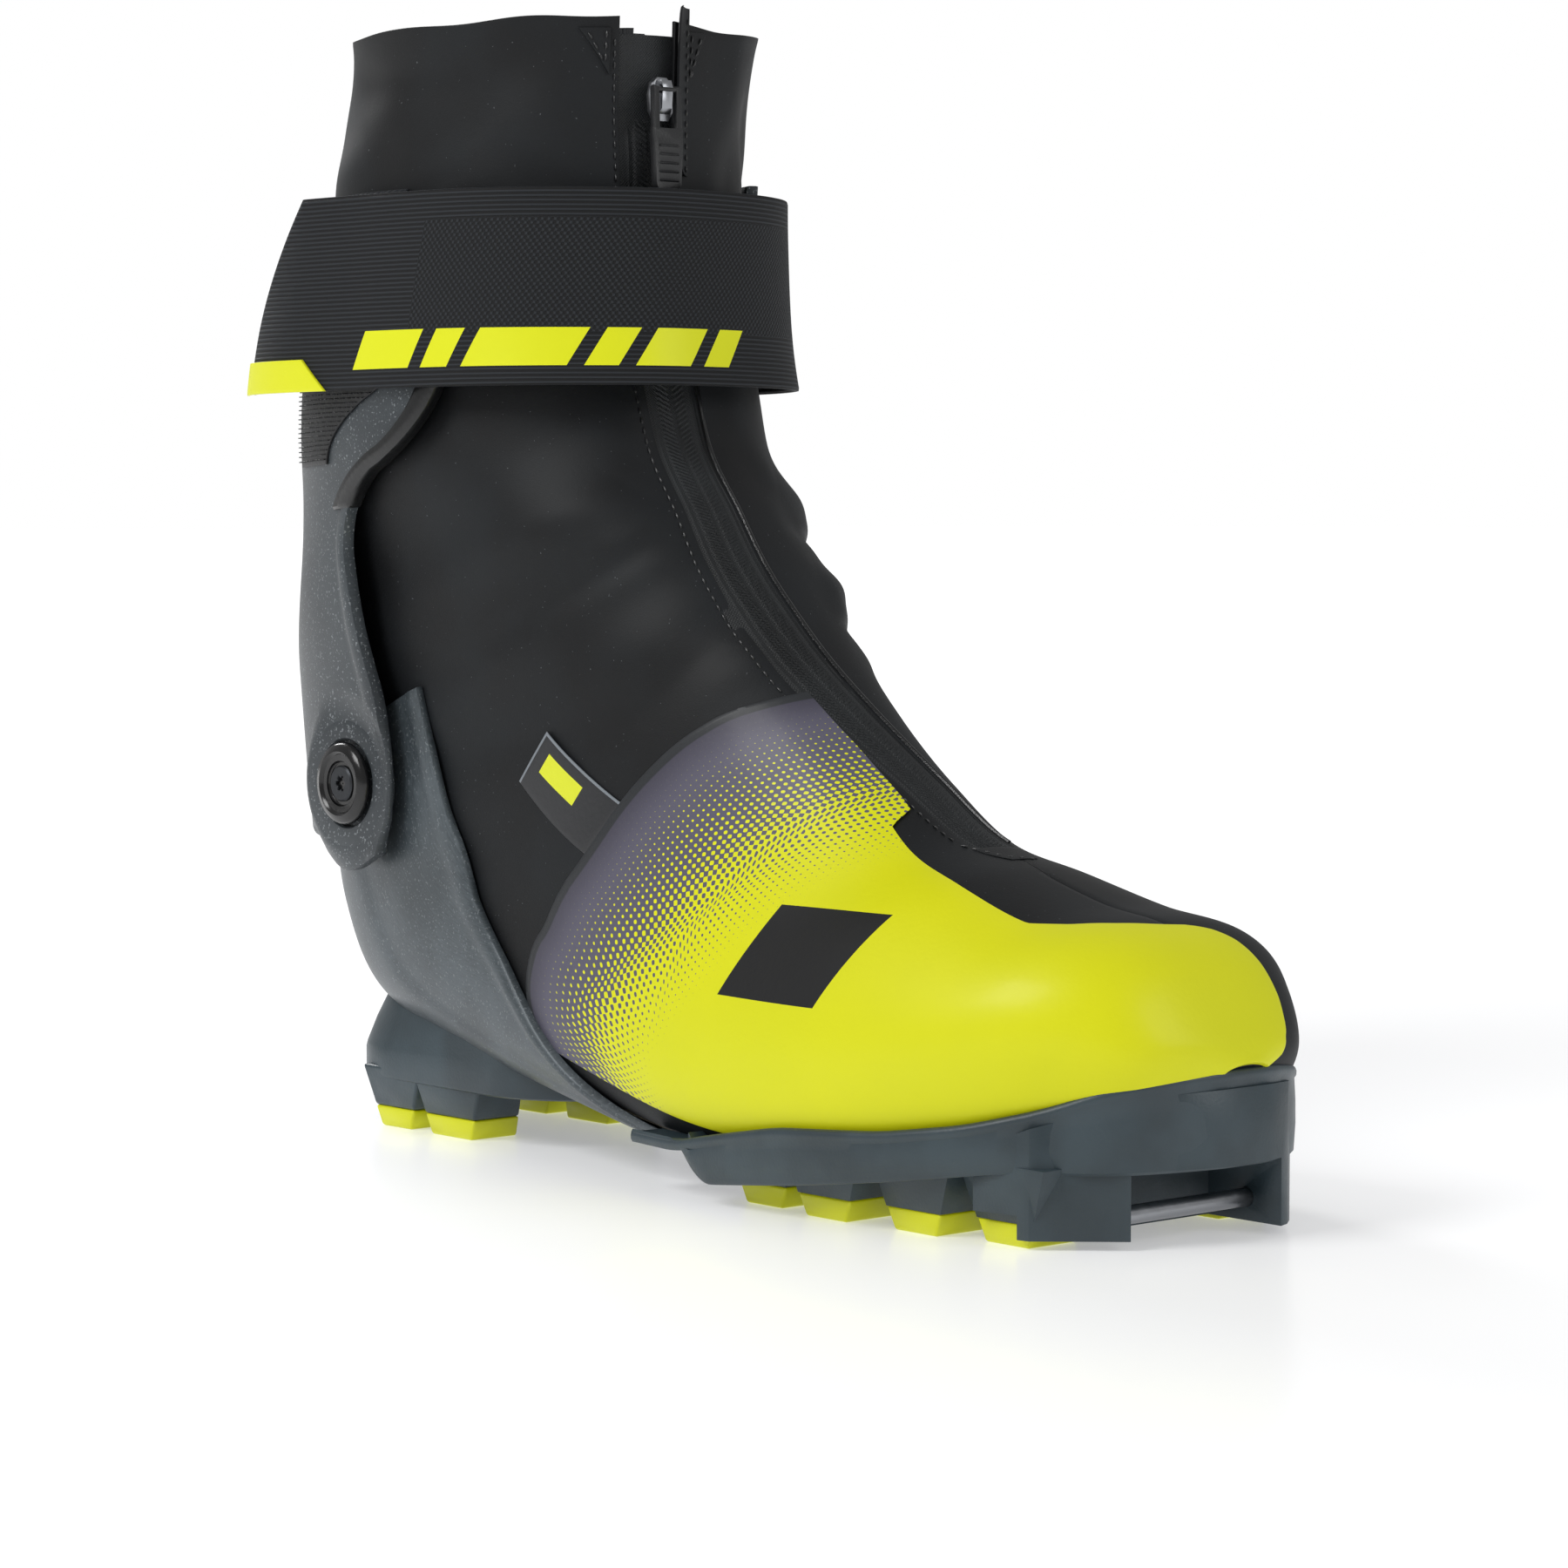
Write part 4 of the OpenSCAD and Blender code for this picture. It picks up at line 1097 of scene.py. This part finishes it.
anchor = sheet("strap_anchor", lambda u, v: (1.65 + 1.65 * u, 78 + 26 * v), 40, 30, 4.7, 8.1,
               woven, soft=0.4)
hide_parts("strap_anchor")
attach(anchor, "cuff")

# ---- Hook patch ---------------------------------------------------------------------------
# A patch of hook tape glued to the outer wing: a woven base set with rows of small hooks.
hook_finish = Finish("hook_tape", Base_Color=rgb(14, 15, 17), Roughness=0.5)
hook_finish.bump(hook_finish.noise(1500, 2), 0.0001)


def hook_place(u, v):
    far = 286 - 6 * u - 26 * smooth(2 * u - 1)
    return 1.7 + 2.42 * u, 236 + (far - 236) * v


hook_base = sheet("hook_patch", hook_place, 50, 40, 2.7, 3.3, hook_finish,
                  lambda s, a, u, v: 2.0 + 0 * s, lambda s, a, u, v: 2.0 + 0 * s)
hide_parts("hook_patch")
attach(hook_base, "cuff")
rng = np.random.default_rng(7)
hooks = []
for u in np.linspace(0.02, 0.98, 52):
    for v in np.linspace(0.02, 0.98, 40):
        s, a = hook_place(np.array(u), np.array(v + rng.normal(0, 0.006)))
        base = skin(s, a, 5.2)
        out = skin(s, a, 6.2) - base
        out /= np.linalg.norm(out)
        lean = np.cross(out, (0, 0, 1)) * rng.choice((-1, 1))
        bend = np.array([(0, 0), (0.1, 0.45), (0.32, 0.75), (0.58, 0.62)]) * rng.uniform(0.75, 1.1)
        line = base + (bend[:, :1] * lean + bend[:, 1:] * out) * MM
        hooks.append(tube(line, np.repeat(np.cross(lean, out)[None], 4, 0), 0.00013, 4))
hook_rows = add_mesh("hook_rows", *gather(hooks), hook_finish)
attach(hook_rows, "cuff")

# ---- Outsole -------------------------------------------------------------------------------
# One slate TPU moulding: a wrap round the forefoot, a block under the toe whose cheeks hold
# the bar, and lugs in two rows. The lugs' lime tips are a second, harder shot.
def tpu_finish(name, dark, light):
    f = Finish(name, Roughness=0.4, Specular_IOR_Level=0.5)
    f.paint(Base_Color=f.between(dark, light, f.noise(45, 3).step(0.35, 0.7)))
    f.paint(Roughness=0.34 + f.noise(220, 3) * 0.16)
    f.bump(f.noise(1400, 2), 0.00005)
    return f


slate = tpu_finish("slate_tpu", rgb(42, 54, 60), rgb(54, 68, 75))
TOE_Y, HEEL_Y = 1.5, 1.0        # middles of the toe block and of the heel, to the inner side
SKIRT_RIM = ((28, 13.5), (40, 16), (62, 20), (92, 22), (112, 25), (127, 29), (139, 34), (153, 38))
SKIRT_LOW = ((28, 13), (31, 9), (37, 4.5), (64, 7.5), (91, 11), (118, 15), (153, 16))


def sole_outline():
    """The forefoot's outline from above, from the outer side round the toe, evenly spaced."""
    s = np.linspace(11.3, 17, 200)
    off = 3 - 1.8 * smooth((s - 13.5) / 2)
    flat = np.concatenate([skin(s, -98, off), skin(s[::-1], 98, off[::-1])])[:, :2]
    flat = (flat - np.array(FORM_CENTRE)[:2]) / MM
    run = lengths(flat, 0)
    at = np.linspace(0, run[-1], 260)
    return np.stack([sum(np.interp(at + d, run, flat[:, k]) for d in (-3, -1.5, 0, 1.5, 3)) / 5
                     for k in (0, 1)], -1)


def skirt():
    """Points and faces of the raised band round the forefoot: a rounded rim on a tall wall."""
    path = sole_outline()
    run = np.gradient(path, axis=0)
    run /= np.linalg.norm(run, axis=1)[:, None]
    outward = np.stack([run[:, 1], -run[:, 0]], -1)
    low, rim = soft_read(SKIRT_LOW, path[:, 0], 2.5), soft_read(SKIRT_RIM, path[:, 0], 4)
    tall = rim - low
    ring = [(-8, low + 0.2), (-1.6, low), (-0.6, low + 0.15), (0, low + 0.8),
            (0.35, low + 0.35 * tall), (0.3, low + 0.62 * tall), (0.05, rim - 2.6),
            (0.45, rim - 1.9), (0.5, rim - 1.1), (0.2, rim - 0.4), (-0.4, rim - 0.02),
            (-1.2, rim), (-2.2, rim - 0.3), (-3.2, rim - 1.4), (-8, rim - 3)]
    flat = np.stack([np.concatenate([path + outward * d, z[:, None]], 1) for d, z in ring], 1)
    n, m = flat.shape[:2]
    faces = [[i * m + j, i * m + (j + 1) % m, (i + 1) * m + (j + 1) % m, (i + 1) * m + j]
             for i in range(n - 1) for j in range(m)]
    ends = [list(range(m))[::-1], [(n - 1) * m + j for j in range(m)]]
    return flat.reshape(-1, 3) * MM + np.array(FORM_CENTRE), faces + ends


def sole_plate():
    """The flat underside between the two sides of the skirt."""
    path = sole_outline()
    tip = int(np.argmax(path[:, 0]))
    x = np.linspace(30.5, 143, 60)
    edges = [np.interp(x, part[:, 0], part[:, 1]) + inset for part, inset in
             ((path[:tip], 1.5), (path[:tip:-1], -1.5))]
    z = soft_read(SKIRT_LOW, x, 2.5) + 0.3
    rows = [np.stack([np.stack([x, y, z + up], -1) for y in edges], 1) for up in (5, 0)]
    points = np.concatenate([grid.reshape(-1, 3) for grid in rows])
    return points * MM + np.array(FORM_CENTRE), shell_faces(60, 2)


def lug(middle, length, outer_y, side, low, high):
    """A lug between two heights: longer at its top than at the ground, and leaning out."""
    rings = []
    for z in (low, high):
        half = length / 2 + 4.5 * z / 12
        out = outer_y + side * 1.5 * z / 12
        within = out - side * 14
        rings += [(middle - half, within, z), (middle + half, within, z),
                  (middle + half, out, z), (middle - half, out, z)]
    faces = [[0, 1, 2, 3], [7, 6, 5, 4], [0, 4, 5, 1], [1, 5, 6, 2], [2, 6, 7, 3], [3, 7, 4, 0]]
    return np.array(rings) * MM + np.array(FORM_CENTRE), faces


def box(x0, x1, y0, y1, z0, z1):
    return prism(((x0, y0), (x1, y0), (x1, y1), (x0, y1)), 2, z0, z1)


FRONT_LUGS = [(x, long, TOE_Y + side * y, side) for side in (-1, 1)
              for x, long, y in ((46, 12, 39.5), (68.5, 13, 41.5), (94.5, 13, 39.5), (118, 13, 35.5))]
HEEL_LUGS = [(x, long, HEEL_Y + side * 28, side) for side in (-1, 1)
             for x, long in ((-105, 12), (-82.5, 16))]
BLOCK_PLAN = ((112, -39.5), (126, -37), (140, -22), (145.5, -13), (148.6, -3), (149, 10.5),
              (146, 19.5), (143, 23.5), (134, 32), (124, 38), (112, 38.5))
NOTCH_PLAN = ((126, -16.5), (133.7, -16.5), (142, -23), (170, -23), (170, 16.5), (126, 16.5))
groove_cuts = [box(27, 113, TOE_Y + y - 2, TOE_Y + y + 2, 2, 7) for y in (-6, 9)]
bar_hole = turned(2.05, 1, (137, 7), TOE_Y - 21, TOE_Y + 21)
block_top = prism(((100, 15.2), (112, 20), (128, 26), (140, 31.5), (160, 34.2), (160, 60),
                   (100, 60)), 1, -70, 70)
toe_block = moulded(
    "toe_block", [prism([(x, TOE_Y + y) for x, y in BLOCK_PLAN], 2, 2, 45)], slate, 0.8,
    [prism([(x, TOE_Y + y) for x, y in NOTCH_PLAN], 2, -5, 16.5), box(100, 123, -50, 50, -5, 7),
     bar_hole, block_top])
tread = moulded("forefoot_tread", [
    prism(((32, 5), (34, 11), (120, 15), (120, 5)), 1, -22, 26),
    *(lug(*at, 5, 17) for at in FRONT_LUGS)], slate, 0.8, groove_cuts)
band = add_mesh("outsole_skirt", *gather([skirt(), sole_plate()]), slate)
HEEL_BACK, HEEL_FRONT = -105, -66      # centres of the heel's rear and front curves
HEEL_RADII = ((12, 29, 30), (12.4, 29.7, 30.7), (13.2, 30, 31), (18.5, 30, 31), (20, 29.6, 31),
              (26, 27.2, 31), (32.5, 24, 31))        # height, rear and front radius
heel_rings, heel_faces = [], []
behind = np.cos(full_turn) < 0
for k, (z, rear, front) in enumerate(HEEL_RADII):
    ring = np.where(behind, rear, front)
    heel_rings.append(np.stack([
        np.where(behind, HEEL_BACK, HEEL_FRONT) + ring * np.cos(full_turn),
        HEEL_Y + ring * np.sin(full_turn), 0 * full_turn + z], -1))
    if k:
        heel_faces += ring_faces(k - 1, k)
heel_points = np.concatenate(heel_rings) * MM + np.array(FORM_CENTRE)
heel_count = len(heel_points)
heel_faces += [list(range(ROUND_STEPS))[::-1], list(range(heel_count - ROUND_STEPS, heel_count))]
heel_base = add_mesh("heel_base", heel_points, heel_faces, slate)
heel_tread = moulded("heel_tread", [lug(*at, 5, 15) for at in HEEL_LUGS], slate, 0.8)
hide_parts("front_outsole")
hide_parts("heel_outsole")
for piece in (toe_block, tread, band, heel_base, heel_tread):
    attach(piece, "boot")
for name, places, node in (("front_lug_caps", FRONT_LUGS, "front_lug_tips"),
                           ("heel_lug_caps", HEEL_LUGS, "heel_lug_tips")):
    caps = moulded(name, [lug(*at, 0, 5.02) for at in places], tip_finish, 0.7)
    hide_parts(node)
    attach(caps, "boot")

# ---- Metal parts --------------------------------------------------------------------------
# The ground steel toe bar, the rivets of the strap's anchor and the bushes of the ankle.
steel = cast_finish()
for node in ("toe_bar", "strap_rivets", "pivot_bush_lateral", "pivot_bush_medial"):
    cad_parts[node].data.materials.clear()
    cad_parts[node].data.materials.append(steel.material)

# ---- Insides of the shoe ----------------------------------------------------------------------
# The fibre board and the toe stiffener that the upper is lasted over, and a foam footbed.
board = Finish("fibre_board", Base_Color=rgb(150, 145, 132), Roughness=0.8)
board.bump(board.noise(500, 4), 0.0001)
for node in ("lasting_board", "toe_stiffener"):
    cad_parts[node].data.materials.clear()
    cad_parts[node].data.materials.append(board.material)
foam = Finish("footbed_foam", Base_Color=rgb(96, 100, 106), Roughness=0.9)
foam.bump(foam.noise(1300, 3), 0.0002)
footbed = sheet("footbed", lambda u, v: (9.15 + 6.4 * u, 122.5 + 115 * v), 60, 40, -9.3, -6.9,
                foam, lambda s, a, u, v: 0.3 * np.sin(pi * u) * np.sin(pi * v), soft=0.45)
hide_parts("footbed")
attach(footbed, "boot")

# ---- Lacing and heel loop -------------------------------------------------------------------------
# A flat braided lace that zigzags over the tongue through webbing loops, under the zip, and a
# webbing loop stitched to the back of the collar.
def braid(name, colour):
    f = Finish(name, Roughness=0.75)
    x, y = f.cloth()
    weave = ((x + y) * (2 * pi / 0.0011)).sine() * ((x - y) * (2 * pi / 0.0011)).sine()
    f.paint(Base_Color=f.between(colour, WHITE, weave.step(-0.4, 1.0) * 0.08))
    f.bump(weave, 0.00015)
    return f


lace_finish, webbing = braid("lace_braid", rgb(200, 202, 202)), braid("webbing", rgb(24, 25, 27))
LACE_FROM, LACE_STEP, LACE_Y = 6.7, 0.62, 13
for k in range(6):
    def lace_place(u, v, k=k):
        s = LACE_FROM + LACE_STEP * (k + (v if k % 2 == 0 else 1 - v)) + 0.15 * (u - 0.5)
        return s, angle_at(s, LACE_Y * (2 * v - 1))
    run = sheet("lace_run_%d" % (k + 1), lace_place, 6, 40, -3.45, -2.55, lace_finish, soft=0.45)
    if k == 0:
        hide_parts("lace")
    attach(run, "boot")
for k in range(7):
    for side in (-1, 1):
        def loop_place(u, v, k=k, side=side):
            s = LACE_FROM + LACE_STEP * k + 0.28 * (u - 0.5)
            return s, angle_at(s, side * (LACE_Y + 4.5) + 2.9 * (v - 0.5))
        loop = sheet("lace_loop_%d_%s" % (k + 1, "outer" if side < 0 else "inner"), loop_place, 8,
                     8, -3.45, -2.35, webbing, soft=0.45)
        if k == 0 and side < 0:
            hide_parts("lace_loops")
        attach(loop, "boot")
heel_tab = sheet("heel_loop", lambda u, v: (0.12 + 0.96 * u, 172.3 + 15.4 * v), 24, 24, 1.0, 2.3,
                 webbing, lambda s, a, u, v: 0.7 * np.sin(pi * u),
                 lambda s, a, u, v: 0.5 * np.sin(pi * u), soft=0.4)
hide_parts("heel_tab")
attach(heel_tab, "cuff")
